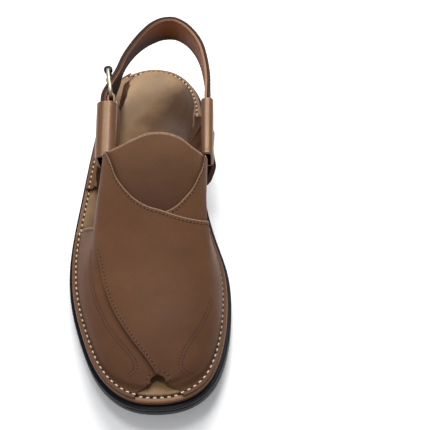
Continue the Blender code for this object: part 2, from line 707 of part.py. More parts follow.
def sweep(name, path, profile_at, up_at, finish, closed=False):
    """Solid swept along a path. profile_at gives (across, up) pairs for a place on it."""
    path = np.array(path)
    count = len(path)
    ahead = np.roll(path, -1, 0) if closed else np.vstack([path[1:], path[-1:]])
    behind = np.roll(path, 1, 0) if closed else np.vstack([path[:1], path[:-1]])
    tangent = ahead - behind
    tangent /= np.linalg.norm(tangent, axis=1)[:, None]
    vertices, faces = [], []
    for i in range(count):
        across = np.cross(tangent[i], up_at(i))
        across /= np.linalg.norm(across)
        up = np.cross(across, tangent[i])
        profile = profile_at(i)
        vertices += [path[i] + across * a + up * b for a, b in profile]
    size = len(profile)
    for i in range(count if closed else count - 1):
        a, b = i * size, ((i + 1) % count) * size
        for k in range(size):
            m = (k + 1) % size
            faces.append((a + k, a + m, b + m, b + k))
    if not closed:
        faces.append(tuple(range(size))[::-1])
        faces.append(tuple((count - 1) * size + k for k in range(size)))
    return add_object(name, vertices, faces, finish)


def strap_path(count=46):
    """Rows of place, width and lean along the strap, from the medial tube round the heel to the lateral tube."""
    free = np.array(STRAP_LOOP) * np.array([WIDTH, LENGTH, STRAP_HEIGHT, 1.0, 1.0])
    front, rear = buckle_bars()
    beside_tab = tube_room(LATERAL)[0] - STRAP_THICK / 2 - 3 * GAP
    tubes = [tube_point(MEDIAL, run, 0.0) for run in (0.2, 0.6, 1.0)]
    buckle = [rear + np.array([-2.8 * WIRE - 0.6 * STRAP_THICK, 0.0, 0.0]), (front + rear) / 2,
              front + np.array([0.0052, -0.0010, -0.0006])]
    tubes_out = [tube_point(LATERAL, run, beside_tab) for run in (0.93, 0.57, 0.2)]
    rows = [np.append(point, (0.0, 0.0)) for point in tubes] + list(free)
    rows += [np.append(point, (0.0, lean)) for point, lean in zip(buckle, (0.16, 0.06, 0.0))]
    rows += [np.append(point, (0.0, 0.0)) for point in tubes_out]
    return through(rows, count, scale=(1.0, 1.0))


def strap_profile(tall):
    """Two layers with a groove between them on both edges."""
    half, edge_round, groove, depth = STRAP_THICK / 2, 0.0005, 0.0003, 0.0007
    top = tall / 2
    right = [(half, -top + edge_round), (half, top - edge_round), (half - edge_round, top), (groove, top),
             (0.0, top - depth), (-groove, top), (-half + edge_round, top), (-half, top - edge_round)]
    left = [(-half, -top + edge_round), (-half + edge_round, -top), (-groove, -top), (0.0, -top + depth),
            (groove, -top), (half - edge_round, -top)]
    return right + left


def tab_across():
    """How far inward of a tube's middle the tab hangs."""
    return tube_room(LATERAL)[0] - (WIRE + GAP + TAB_LEATHER) - GAP


def buckle_bars():
    """Middle of the front bar, which the tab holds, and of the rear bar."""
    front = tube_point(LATERAL, 1 + BAR_REACH / TUBE_LENGTH, -tab_across())
    rear = front + np.array([FRAME_SPLAY, -math.sqrt(FRAME_LENGTH**2 - FRAME_SPLAY**2), 0.0])
    return front, rear


def build_strap(finish):
    path = strap_path()
    along = np.gradient(path[:, :2], axis=0)
    along /= np.linalg.norm(along, axis=1)[:, None]
    inward = np.stack([-along[:, 1], along[:, 0], np.zeros(len(path))], axis=1)
    upright = np.array([0.0, 0.0, 1.0]) + inward * path[:, 4:5]
    made = sweep("heel_strap", path[:, :3],
                 lambda i: strap_profile(STRAP_NARROW + (STRAP_WIDE - STRAP_NARROW) * path[i, 3]),
                 lambda i: upright[i], finish)
    front, rear = buckle_bars()
    middle = front * 0.5 + rear * 0.5
    reach = 0.42 * FRAME_LENGTH
    low = (middle[0] - reach, middle[1] - reach, middle[2] - PRONG_SLOT)
    high = (middle[0] + reach, middle[1] + reach, middle[2] + PRONG_SLOT)
    corners, sides = box_vertices(low, high)
    boolean(made, add_object("prong_hole", corners, sides, finish), "DIFFERENCE")
    return made


def round_profile(radius, count=8):
    angle = np.linspace(0.0, 2 * math.pi, count, endpoint=False)
    return np.stack([np.cos(angle), np.sin(angle)], axis=1) * radius


def build_frame(finish):
    """Rounded oblong of wire round the strap."""
    front, rear = buckle_bars()
    length = np.linalg.norm(rear - front)
    along = (rear - front) / length
    half = STRAP_NARROW / 2 + WIRE + 0.0012
    bend = 0.0045
    points = []
    for run, rise, start in ((bend, half - bend, 90), (bend, bend - half, 180),
                             (length - bend, bend - half, 270), (length - bend, half - bend, 0)):
        for angle in np.radians(np.linspace(start, start + 90, 5)):
            flat = along * (run + bend * math.cos(angle))
            points.append(front + flat + np.array([0.0, 0.0, rise + bend * math.sin(angle)]))
    outward = np.cross(along, (0.0, 0.0, 1.0))
    return sweep("buckle_frame", points, lambda i: round_profile(WIRE), lambda i: outward, finish, closed=True)


def build_prong(finish):
    """Pin hung on the front bar, through the strap and over the rear bar."""
    front, rear = buckle_bars()
    reach = np.array([WIRE * 2 + GAP, 0.0, 0.0])
    loop_radius = 2 * WIRE + GAP
    along = (rear - front) / np.linalg.norm(rear - front)
    points = []
    for angle in np.linspace(math.radians(215), math.radians(60), 8):
        turn = np.array([along[0] * math.cos(angle) + along[1] * math.sin(angle),
                         along[1] * math.cos(angle) - along[0] * math.sin(angle), 0.0])
        points.append(front + turn * loop_radius)
    start = points[-1]
    tip = rear + reach + along * 0.0022 + np.array([0.0006, 0.0, 0.0])
    for t in (0.35, 0.7, 1.0):
        points.append(start * (1 - t) + tip * t)
    return sweep("buckle_prong", points, lambda i: round_profile(WIRE * 0.85, 6), lambda i: np.array([0.0, 0.0, 1.0]),
                 finish)


def build_tab(finish):
    """Folded strip that holds the front bar and runs down inside the lateral tube."""
    front = buckle_bars()[0]
    inner = WIRE + GAP
    mouth = tube_point(LATERAL, 1.0, -tab_across())
    end = tube_point(LATERAL, 0.35, -tab_across())
    path = []
    turn = np.linspace(-math.pi / 2, math.pi / 2, 7)
    middle = inner + TAB_LEATHER / 2
    legs = [end, mouth]
    for point in legs:
        path.append(point + np.array([-middle, 0.0, 0.0]))
    for angle in turn:
        path.append(front + np.array([middle * math.sin(angle), -middle * math.cos(angle), 0.0]))
    for point in legs[::-1]:
        path.append(point + np.array([middle, 0.0, 0.0]))
    half, tall = TAB_LEATHER / 2, TAB_WIDTH / 2
    profile = [(half, -tall), (half, tall), (-half, tall), (-half, -tall)]
    made = sweep("buckle_tab", path, lambda i: profile, lambda i: np.array([0.0, 0.0, 1.0]), finish)
    clear = inner + 2 * TAB_LEATHER
    low = (front[0] - clear, front[1] - clear, front[2] - PRONG_SLOT)
    high = (front[0] + clear, front[1] + clear, front[2] + PRONG_SLOT)
    corners, sides = box_vertices(low, high)
    boolean(made, add_object("tab_slot", corners, sides, finish), "DIFFERENCE")
    return made


def main():
    remove_everything()
    rubber = material("black rubber", (0.012, 0.013, 0.018), 0.55)
    runner = material("runner leather", (0.17, 0.085, 0.045), 0.5)
    sock = material("sock leather", (0.34, 0.23, 0.14), 0.6)
    brown = material("brown leather", (0.16, 0.085, 0.05), 0.45)
    strap = material("strap leather", (0.20, 0.09, 0.05), 0.45)
    brass = material("pale brass", (0.75, 0.66, 0.45), 0.3, 1.0)
    made = [
        build_outsole(rubber),
        build_midsole(runner),
        build_insole(sock),
        build_upper(brown),
        build_quarter("quarter_lateral", LATERAL, brown),
        build_quarter("quarter_medial", MEDIAL, brown),
        build_strap(strap),
        build_tab(strap),
        build_frame(brass),
        build_prong(brass),
    ]
    outline = np.array(ring(LEDGE, midsole_top))
    low, high = outline.min(axis=0), outline.max(axis=0)
    centre = (low + high) / 2
    for thing in bpy.data.objects:
        thing.location = (-float(centre[0]), -float(centre[1]), 0.0)
    return made


main()
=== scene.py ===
# %% [markdown]
# # Peshawari chappal
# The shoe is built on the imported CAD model, in metres, in the same frame: +Y to the toe, +X to the buckle
# side.
# The sole, the vamp and the straps are made again here from the same tables, with finer grids, leather
# thickness at every cut edge, thread, pinholes and materials.

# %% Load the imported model
import math

import bmesh
import bpy
import numpy as np
from mathutils import Matrix, Vector
from mathutils.bvhtree import BVHTree


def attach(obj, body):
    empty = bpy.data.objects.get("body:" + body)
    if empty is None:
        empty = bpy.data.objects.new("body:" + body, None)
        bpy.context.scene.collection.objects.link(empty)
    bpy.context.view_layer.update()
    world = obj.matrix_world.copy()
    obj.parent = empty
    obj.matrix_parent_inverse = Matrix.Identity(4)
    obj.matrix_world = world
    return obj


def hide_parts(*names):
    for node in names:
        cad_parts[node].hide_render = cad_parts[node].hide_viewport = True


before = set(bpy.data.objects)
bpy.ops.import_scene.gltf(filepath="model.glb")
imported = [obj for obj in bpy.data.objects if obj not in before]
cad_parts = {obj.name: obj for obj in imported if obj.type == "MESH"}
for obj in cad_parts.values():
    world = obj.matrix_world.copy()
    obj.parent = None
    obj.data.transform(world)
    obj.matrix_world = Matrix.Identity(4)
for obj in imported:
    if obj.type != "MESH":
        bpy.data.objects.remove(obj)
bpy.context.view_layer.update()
print("nodes", sorted(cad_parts))

# %% [markdown]
# ## Sizes
# The named sizes are the CAD model's. Rows of the tables are shares of these sizes, so the looks keep the
# CAD model's proportions.

# %% Named sizes
LENGTH, WIDTH = 0.286, 0.107
LEDGE = 0.0026
HEEL_TOP, BALL_TOP, TOE_TOP = 0.031, 0.020, 0.032
MIDSOLE_THICK, INSOLE_THICK = 0.0052, 0.0016
ARCH_RISE, TOE_SPRING, HEEL_BLOCK = 0.0085, 0.0135, 0.075
TREAD_PITCH, TREAD_WIDTH, TREAD_DEPTH = 0.0125, 0.0034, 0.0022
GAP = 0.0003
LEATHER = 0.0019
FEATHER_INSET, TURN, FLANGE_INSET = 0.0058, 0.0022, 0.0007
BARE_INSET, QUARTER_INSET, COVERED_INSET = 0.0044, 0.0080, 0.0100
SEAM_INSET = 0.0033
FILLET, INSTEP, BACK_RUN = 0.0045, 0.0630, 0.012
TUBE_LENGTH, TUBE_HEIGHT, TUBE_FRONT, TUBE_WALL = 0.040, 0.0236, 0.440, 0.0018
STRAP_THICK, STRAP_WIDE, STRAP_NARROW, STRAP_HEIGHT = 0.0040, 0.0235, 0.0184, 0.0785
TUBE_TOP, TUBE_FALL = 0.975 * STRAP_HEIGHT, 0.153 * STRAP_HEIGHT
WIRE, BAR_REACH, FRAME_LENGTH, FRAME_SPLAY = 0.0011, 0.0033, 0.0252, 0.0032
TAB_LEATHER, TAB_WIDTH = 0.0013, 0.0155
# Only in the looks: the rows of a wall's flange, as offsets from the runner's edge, and the depth of the
# stitch channel.
WALL_FLANGE = (-FLANGE_INSET, -0.0016, -0.0026, -0.0029, -0.0037, -0.0040)
CHANNEL_DEPTH = 0.0007
LATERAL, MEDIAL = 1, -1
WORDS = {LATERAL: "lateral", MEDIAL: "medial"}
UP = np.array([0.0, 0.0, 1.0])

# %% Tables of the shape
# Outline: share of the length, then half widths on the lateral and the medial side.
OUTLINE = [
    (0.014, 0.155, 0.148), (0.052, 0.274, 0.262), (0.122, 0.354, 0.341), (0.227, 0.395, 0.353),
    (0.350, 0.436, 0.331), (0.453, 0.473, 0.346), (0.555, 0.508, 0.402), (0.605, 0.516, 0.440),
    (0.655, 0.513, 0.472), (0.745, 0.476, 0.486), (0.832, 0.404, 0.464), (0.905, 0.322, 0.416),
    (0.960, 0.214, 0.336), (0.990, 0.095, 0.222),
]
TOE_POINT = -0.065
# Sections of the last: share, height, place of the crown, squareness, medial swell and lateral swell.
SECTIONS = np.array([
    (0.30, 1.375, -0.085, 3.2, 0.036, -0.010), (0.39, 1.230, -0.082, 3.1, 0.032, -0.010),
    (0.44, 1.125, -0.080, 3.0, 0.028, -0.010), (0.49, 1.005, -0.072, 2.9, 0.018, -0.010),
    (0.56, 0.830, -0.060, 2.7, 0.006, -0.006), (0.63, 0.672, -0.054, 2.5, 0.000, 0.002),
    (0.70, 0.545, -0.050, 2.35, 0.003, 0.008), (0.785, 0.418, -0.052, 2.25, 0.006, 0.010),
    (0.855, 0.322, -0.055, 2.2, 0.006, 0.008), (0.90, 0.250, -0.057, 2.15, 0.004, 0.005),
    (0.94, 0.180, -0.060, 2.1, 0.002, 0.002), (0.975, 0.115, -0.063, 2.0, 0.000, 0.000),
    (1.00, 0.065, -0.065, 2.0, 0.000, 0.000),
])
# How far the last is hollowed beside its crown, by share of the length: lateral side, then medial side.
PINCH = np.array([(0.30, 0.050), (0.50, 0.050), (0.58, 0.046), (0.64, 0.028), (0.70, 0.010), (0.76, 0.000)])
INNER_PINCH = np.array([(0.42, 0.000), (0.50, 0.020), (0.56, 0.042), (0.61, 0.042), (0.66, 0.028),
                        (0.73, 0.010), (0.80, 0.000)])
# Lines on the last: share of the length, and place from the crown (0) to the welt (1 or -1).
OVER_EDGE = [(0.452, 0.600), (0.500, 0.635), (0.550, 0.650), (0.600, 0.610), (0.640, 0.530), (0.690, 0.475),
             (0.745, 0.450), (0.810, 0.390), (0.874, 0.270), (0.938, 0.120), (0.972, 0.050)]
OVER_NECK = [(0.455, 0.480), (0.484, 0.390), (0.515, 0.315), (0.545, 0.215), (0.575, 0.090), (0.594, -0.030),
             (0.605, -0.180), (0.605, -0.380), (0.591, -0.600), (0.569, -0.800), (0.547, -1.000)]
OVER_WELT = [(0.547, -1.000), (0.700, -1.000), (0.850, -1.000), (0.940, -1.000), (0.9915, -1.000)]
OVER_TOE = [(0.972, 0.050), (0.9775, -0.200), (0.9862, -0.450), (0.9915, -0.720), (0.9915, -1.000)]
UNDER_EDGE = [(0.462, -0.600), (0.500, -0.680), (0.550, -0.700), (0.600, -0.660), (0.640, -0.560),
              (0.690, -0.480), (0.745, -0.450), (0.810, -0.390), (0.874, -0.270), (0.938, -0.120),
              (0.974, -0.050)]
UNDER_NECK = [(0.466, -0.480), (0.490, -0.445), (0.518, -0.370), (0.542, -0.305), (0.565, -0.220),
              (0.588, -0.120), (0.604, 0.020), (0.612, 0.260), (0.612, 0.450), (0.600, 0.620), (0.577, 0.800),
              (0.546, 1.000)]
UNDER_WELT = [(0.546, 1.000), (0.700, 1.000), (0.850, 1.000), (0.940, 1.000), (0.9930, 1.000)]
UNDER_TOE = [(0.974, -0.050), (0.9795, 0.200), (0.9875, 0.450), (0.9925, 0.720), (0.9930, 1.000)]
TONGUE_TOP = [(0.452, 0.500), (0.457, 0.320), (0.452, 0.140), (0.445, 0.000), (0.452, -0.140),
              (0.465, -0.300), (0.466, -0.500)]
TONGUE_FRONT = [(0.655, 0.500), (0.665, 0.250), (0.668, 0.000), (0.665, -0.250), (0.655, -0.500)]
# Distance of the sock lining from the runner's edge along each side.
LINING_EDGE = {
    LATERAL: [(0.000, BARE_INSET), (0.004, BARE_INSET), (0.014, 0.7 * COVERED_INSET),
              (0.425, 0.7 * COVERED_INSET), (0.445, BARE_INSET), (0.522, BARE_INSET), (0.545, COVERED_INSET),
              (0.958, COVERED_INSET), (0.980, BARE_INSET), (1.000, BARE_INSET)],
    MEDIAL: [(0.000, BARE_INSET), (0.150, BARE_INSET), (0.190, 0.8 * QUARTER_INSET),
             (0.422, 0.8 * QUARTER_INSET), (0.440, BARE_INSET), (0.522, BARE_INSET), (0.545, COVERED_INSET),
             (0.958, COVERED_INSET), (0.980, BARE_INSET), (1.000, BARE_INSET)],
}
# Free part of the strap: shares of the width, length and height, then tallness and lean.
STRAP_LOOP = [
    (-0.408, 0.228, 0.990, 0.2, 0.00), (-0.395, 0.172, 0.995, 0.4, 0.00), (-0.370, 0.122, 1.000, 0.6, 0.02),
    (-0.322, 0.077, 1.000, 0.8, 0.08), (-0.259, 0.043, 1.000, 1.0, 0.14), (-0.183, 0.023, 1.000, 1.0, 0.17),
    (-0.104, 0.023, 1.000, 1.0, 0.20), (-0.020, 0.040, 1.000, 1.0, 0.24), (0.055, 0.070, 1.000, 0.6, 0.28),
    (0.122, 0.110, 0.999, 0.3, 0.30), (0.174, 0.156, 0.998, 0.1, 0.26),
]
# Walls: front and rear share of the foot line, and swell at the back.
QUARTER_BASE = {LATERAL: (0.420, 0.019, 0.0), MEDIAL: (0.418, 0.190, 0.02)}
# Front edge of a wall: share of the height, reach toward the tube, and swell.
QUARTER_WALL = {
    LATERAL: [(0.00, 0.00, 0.000), (0.06, 0.30, -0.003), (0.16, 0.68, -0.008), (0.30, 0.92, -0.013),
              (0.48, 1.00, -0.016), (0.68, 1.00, -0.015), (0.88, 1.00, -0.009), (1.00, 1.00, 0.000)],
    MEDIAL: [(0.00, 0.00, 0.000), (0.10, 0.20, 0.018), (0.25, 0.45, 0.040), (0.50, 0.72, 0.022),
             (0.75, 0.93, 0.004), (0.90, 1.00, 0.001), (1.00, 1.00, 0.000)],
}
# Moves of that edge: forward in shares of the length, and sideways in metres.
SCALLOP = np.array([(0.0, 0.0), (0.12, 0.002), (0.28, 0.014), (0.45, 0.004), (0.62, -0.012), (0.84, -0.024),
                    (1.0, -0.004)])
FRONT_SPREAD = {
    LATERAL: np.array([(0.0, 0.0), (0.25, 0.0016), (0.50, 0.0028), (0.80, 0.0014), (1.0, 0.0)]),
    MEDIAL: np.array([(0.0, 0.0), (0.12, -0.0018), (0.25, -0.0036), (0.42, -0.0010), (0.60, 0.0014),
                      (0.80, 0.0010), (1.0, 0.0)]),
}
# Middle lines of the double rows of pinholes, as lines on the last.
PINHOLES = {
    LATERAL: [(0.646, 0.66), (0.683, 0.655), (0.713, 0.63), (0.750, 0.62), (0.783, 0.60), (0.814, 0.56),
              (0.844, 0.52), (0.871, 0.455), (0.898, 0.390), (0.920, 0.345), (0.938, 0.350), (0.950, 0.42),
              (0.957, 0.55), (0.960, 0.70)],
    MEDIAL: [(0.776, -0.60), (0.800, -0.575), (0.825, -0.54), (0.850, -0.49), (0.876, -0.43), (0.901, -0.385),
             (0.922, -0.37), (0.938, -0.39), (0.950, -0.48), (0.958, -0.64), (0.961, -0.84), (0.960, -0.97)],
}
print("outline rows", len(OUTLINE), "sections", len(SECTIONS))

# %% [markdown]
# ## Curves and the foot's surface
# `edge` gives a point on the runner's edge, moved out or in. `foot` gives a point on the last: it runs from
# the crown (0) to the welt (1 lateral, -1 medial), then turns out on to the runner (up to 2).

# %% Curve helpers
def unit(vectors):
    return vectors / np.linalg.norm(vectors, axis=-1, keepdims=True)


def running(points):
    """Length along a line up to each of its points."""
    return np.concatenate([[0.0], np.cumsum(np.linalg.norm(np.diff(points, axis=0), axis=1))])


def weights(t, h):
    """Cubic weights of the value before, of the slope before and of the slope after."""
    return 2 * t**3 - 3 * t**2 + 1, (t**3 - 2 * t**2 + t) * h, (t**3 - t**2) * h


def hermite(places, values, at):
    """Smooth curve through rows of values."""
    slopes = np.gradient(values, places, axis=0)
    at = np.clip(at, places[0], places[-1])
    i = np.clip(np.searchsorted(places, at, side="right") - 1, 0, len(places) - 2)
    h = places[i + 1] - places[i]
    t = (at - places[i]) / h
    if values.ndim > 1:
        h, t = h[:, None], t[:, None]
    a, b, c = weights(t, h)
    return a * values[i] + b * slopes[i] + (1 - a) * values[i + 1] + c * slopes[i + 1]


def through(rows, count, scale=(1.0, 0.25)):
    """Evenly spaced points on a smooth curve through the rows of a table."""
    rows = np.array(rows, float)
    run = running(rows[:, :2] * scale)
    return hermite(run, rows, np.linspace(0.0, run[-1], count))


def spaced(points, pitch):
    """Places along a line of points, pitch apart, and the direction there."""
    run = running(points[:, :3])
    count = int(run[-1] / pitch)
    at = (np.arange(count) + 0.5) * (run[-1] / max(count, 1))

    def pick(places):
        return np.stack([np.interp(places, run, column) for column in points.T], axis=1)

    ahead, behind = pick(np.minimum(at + pitch / 4, run[-1])), pick(np.maximum(at - pitch / 4, 0.0))
    return pick(at), unit((ahead - behind)[:, :3])


def closed_curve(points, per_span):
    """Closed cubic spline with even curvature at every point."""
    points = np.array(points, float)
    count = len(points)
    chord = np.linalg.norm(np.roll(points, -1, 0) - points, axis=1)
    system, right = np.zeros((count, count)), np.zeros((count, 2))
    for i in range(count):
        before, after, ahead = chord[i - 1], chord[i], (i + 1) % count
        system[i, i - 1] += after
        system[i, i] += 2 * (before + after)
        system[i, ahead] += before
        step_in = (points[i] - points[i - 1]) / before
        step_out = (points[ahead] - points[i]) / after
        right[i] = 3 * (after * step_in + before * step_out)
    tangents = np.linalg.solve(system, right)
    pieces = []
    for i in range(count):
        ahead, h = (i + 1) % count, chord[i]
        t = np.linspace(0.0, 1.0, per_span, endpoint=False)[:, None]
        a, b, c = weights(t, h)
        pieces.append(a * points[i] + b * tangents[i] + (1 - a) * points[ahead] + c * tangents[ahead])
    return np.vstack(pieces)


def runner_sides():
    per_span = 24
    lateral = [(wide * WIDTH, share * LENGTH) for share, wide, narrow in OUTLINE]
    medial = [(-narrow * WIDTH, share * LENGTH) for share, wide, narrow in OUTLINE]
    points = [(0.0, 0.0)] + lateral + [(TOE_POINT * WIDTH, LENGTH)] + medial[::-1]
    curve = closed_curve(points, per_span)
    along = np.roll(curve, -1, 0) - np.roll(curve, 1, 0)
    normals = unit(np.stack([along[:, 1], -along[:, 0]], axis=1))
    half = (len(OUTLINE) + 1) * per_span
    right = (curve[:half + 1], normals[:half + 1])
    left = (np.vstack([curve[half:], curve[:1]])[::-1], np.vstack([normals[half:], normals[:1]])[::-1])
    return {LATERAL: right, MEDIAL: left}


SIDES = runner_sides()


def edge(share, side, offset):
    """Point at a share of the length, offset outward from the runner's edge."""
    points, normals = SIDES[side]
    shares = np.maximum.accumulate(points[:, 1] / LENGTH)
    moved = [np.interp(share, shares, points[:, k]) + np.interp(share, shares, normals[:, k]) * offset
             for k in (0, 1)]
    return moved[0], moved[1]


def ease(value):
    value = np.clip(value, 0.0, 1.0)
    return value * value * (3 - 2 * value)


def midsole_top(y):
    share = y / LENGTH
    fall = (BALL_TOP - HEEL_TOP) * ease((share - 0.25) / 0.40)
    rise = (TOE_TOP - BALL_TOP) * np.clip((share - 0.68) / 0.32, 0.0, 1.1)**1.8
    return HEEL_TOP + fall + rise


def outsole_bottom(y):
    share = y / LENGTH
    breast = HEEL_BLOCK / LENGTH
    back = 0.0015 * np.clip((0.03 - share) / 0.03, 0.0, 1.0)**2
    past = share - breast
    arch = ARCH_RISE * np.clip(past / 0.010, 0.0, 1.0) * (1 - ease((past - 0.06) / 0.19))
    spring = TOE_SPRING * np.clip((share - 0.70) / 0.30, 0.0, 1.1)**1.7
    return back + arch + spring


def outsole_top(y):
    return midsole_top(y) - MIDSOLE_THICK - GAP


def on_edge(share, side, offset, rise, base=midsole_top):
    """Points beside the runner's edge, at a rise from a surface of the sole."""
    x, y = edge(share, side, offset)
    return np.stack([x, y, base(y) + rise], axis=1)


def stations(count):
    shares = (1 - np.cos(np.linspace(0.0, math.pi, count + 1))) / 2
    breast = HEEL_BLOCK / LENGTH
    extra = [breast, breast + 0.010]
    kept = [share for share in shares if min(abs(share - place) for place in extra) > 0.2 / count]
    return np.array(sorted(kept + extra))


def ring(offset, base, rise, shares, insets=None):
    """Loop round the sole, lateral side forward and medial side back. insets: a table for each side."""
    loop = []
    for side, order in ((LATERAL, shares), (MEDIAL, shares[-2:0:-1])):
        own = -np.interp(order, *np.transpose(insets[side])) if insets else 0.0
        loop.append(on_edge(order, side, offset + own, rise, base))
    return np.vstack(loop)


CAD_STATIONS = (1 - np.cos(np.linspace(0.0, math.pi, 35))) / 2
outermost = ring(LEDGE, midsole_top, 0.0, CAD_STATIONS)
CENTRE = np.append((outermost.min(axis=0) + outermost.max(axis=0))[:2] / 2, 0.0)
print("middle of the outline", CENTRE.round(4))

# %% Foot surface
def foot(share, around):
    """Points of the last at a share of the length, from the crown (0) to the welt (1 or -1) and beyond."""
    share = np.atleast_1d(np.asarray(share, float))
    around = np.atleast_1d(np.asarray(around, float))
    height, crown, square, swell_medial, swell_lateral = hermite(SECTIONS[:, 0], SECTIONS[:, 1:], share).T
    height = height * INSTEP
    is_lateral = around >= 0
    side = np.where(is_lateral, 1.0, -1.0)
    size = np.abs(around)

    def beside(offset):
        """Width at both edges, and the point at the edge on each point's own side."""
        pair = [edge(share, one, offset) for one in (LATERAL, MEDIAL)]
        x, y = (np.where(is_lateral, *both) for both in zip(*pair))
        return pair[0][0], pair[1][0], np.stack([x, y, midsole_top(y) + GAP], axis=1)

    lateral_x, medial_x, corner = beside(-FEATHER_INSET)
    stop = np.arccos(np.clip(FILLET / height, 0.0, 0.9)**(square / 2))
    angle = np.minimum(size, 1.0) * stop
    out = np.sin(angle)**(2 / square)
    up = np.cos(angle)**(2 / square)
    middle, half = (lateral_x + medial_x) / 2, (lateral_x - medial_x) / 2
    centre = middle + (crown * WIDTH - middle) * up
    swell = np.where(is_lateral, swell_lateral, swell_medial) * WIDTH
    crown_y = share * LENGTH - BACK_RUN * np.clip((share - 0.80) / 0.20, 0.0, 1.0)**2
    y = crown_y + (corner[:, 1] - crown_y) * out
    depth = np.where(is_lateral, np.interp(share, *PINCH.T), np.interp(share, *INNER_PINCH.T)) * WIDTH
    pinch = side * depth * np.sin(np.pi * np.clip(2 * size - 1, 0.0, 1.0))
    wall = np.stack([centre + side * (half * out + swell * np.sin(2 * angle)) - pinch, y,
                     midsole_top(y) + GAP + height * up], axis=1)
    turned = [beside(offset)[2] for offset in (-FEATHER_INSET + TURN, -FLANGE_INSET)]
    t = np.clip((size - 1.0) / 0.5, 0.0, 1.0)[:, None]
    bend = wall * (1 - t)**2 + corner * 2 * t * (1 - t) + turned[0] * t**2
    t = np.clip((size - 1.5) / 0.5, 0.0, 1.0)[:, None]
    flat = turned[0] * (1 - t) + turned[1] * t
    flat[:, 2] = midsole_top(flat[:, 1]) + GAP
    size = size[:, None]
    return np.where(size <= 1.0, wall, np.where(size <= 1.5, bend, flat))


def foot_normal(share, around):
    step = 0.004
    along = foot(np.minimum(share + step, 0.9985), around) - foot(share - step, around)
    over = foot(share, np.minimum(around + step * 4, 2.0)) - foot(share, np.maximum(around - step * 4, -2.0))
    return unit(np.cross(over, along))


print("instep height", round(float(foot(0.45, 0.0)[0, 2]), 4))

# %% [markdown]
# ## Materials
# Every material is made of nodes. Leather has slow changes of colour, fine pores and a grain of small cells,
# with a satin sheen that varies over the hide; some leathers also carry painted light and shade, graded along
# a direction. Cut edges are fibrous and mostly paler; a darker cut edge on the rims of the leather sheets and
# on the runner's side is painted shade.

# %% Material helpers
MOTTLE = 14.0       # scale of the slow changes of tone in leather
SWAY = 0.08         # how far the mottle moves a graded tone, as a share of its range


def material(name):
    made = bpy.data.materials.new(name)
    made.use_nodes = True
    return made, made.node_tree, made.node_tree.nodes["Principled BSDF"]


def fill(made, values):
    for key, value in values.items():
        made.inputs[key].default_value = value


def node(tree, kind, wires, values=None):
    """New shader node. wires and values name inputs, with the socket or the number that goes in."""
    made = tree.nodes.new("ShaderNode" + kind)
    for key, source in wires.items():
        tree.links.new(source, made.inputs[key])
    fill(made, values or {})
    return made


def noise(tree, place, scale, detail=4.0, roughness=0.55):
    values = {"Scale": scale, "Detail": detail, "Roughness": roughness}
    return node(tree, "TexNoise", {"Vector": place}, values).outputs["Fac"]


def ramp(tree, value, stops):
    made = node(tree, "ValToRGB", {"Fac": value})
    elements = made.color_ramp.elements
    while len(elements) < len(stops):
        elements.new(0.5)
    for element, (place, colour) in zip(elements, stops):
        element.position = place
        element.color = (*colour, 1.0)
    return made.outputs["Color"]


def remap(tree, value, low, high, start=0.3, end=0.7):
    values = {"From Min": start, "From Max": end, "To Min": low, "To Max": high}
    return node(tree, "MapRange", {"Value": value}, values).outputs["Result"]


def bump(tree, shader, layers):
    """Stack of bumps: value, strength and depth in metres."""
    last = {}
    for value, strength, depth in layers:
        made = node(tree, "Bump", {"Height": value, **last}, {"Strength": strength, "Distance": depth})
        last = {"Normal": made.outputs["Normal"]}
    tree.links.new(last["Normal"], shader.inputs["Normal"])


def leather(name, stops, roughness, grain=0.25, sheen=0.22, way=None):
    """stops: places and colours. A place is a level of the mottle, or a distance along the way in metres. A
    tone graded along the way is painted light and shade.
    """
    made, tree, shader = material(name)
    place = tree.nodes.new("ShaderNodeTexCoord").outputs["Object"]
    tone = noise(tree, place, MOTTLE, 5.0, 0.6)
    if way:
        low, high = stops[0][0], stops[-1][0]
        stops = [((at - low) / (high - low), colour) for at, colour in stops]
        along = node(tree, "VectorMath", {0: place}, {1: way})
        along.operation = "DOT_PRODUCT"
        share = remap(tree, along.outputs["Value"], 0.0, 1.0, low, high)
        tone = node(tree, "Math", {0: share, 1: remap(tree, tone, -SWAY, SWAY)}).outputs["Value"]
    value = remap(tree, noise(tree, place, MOTTLE * 2.3, 6.0, 0.65), 0.88, 1.12)
    shade = node(tree, "HueSaturation", {"Color": ramp(tree, tone, stops), "Value": value})
    tree.links.new(shade.outputs["Color"], shader.inputs["Base Color"])
    patch = noise(tree, place, MOTTLE * 3.1)
    tree.links.new(remap(tree, patch, *roughness), shader.inputs["Roughness"])
    cells = node(tree, "TexVoronoi", {"Vector": place}, {"Scale": 900.0}).outputs["Distance"]
    bump(tree, shader, [(noise(tree, place, 90.0, 3.0), 0.25, 0.0006), (cells, grain, 0.00012),
                        (noise(tree, place, 1500.0, 2.0), grain, 0.00008)])
    fill(shader, {"Specular IOR Level": sheen})
    return made


def cut_edge(name, pale, deep):
    """Cut edge of leather, with fibres that run along the thickness."""
    made, tree, shader = material(name)
    place = tree.nodes.new("ShaderNodeTexCoord").outputs["Object"]
    upright = node(tree, "Mapping", {"Vector": place}, {"Scale": (1.0, 1.0, 0.25)}).outputs["Vector"]
    fibre = noise(tree, upright, 700.0, 3.0, 0.6)
    tree.links.new(ramp(tree, fibre, [(0.35, deep), (0.65, pale)]), shader.inputs["Base Color"])
    fill(shader, {"Roughness": 0.66, "Specular IOR Level": 0.15})
    bump(tree, shader, [(fibre, 0.4, 0.0002)])
    return made


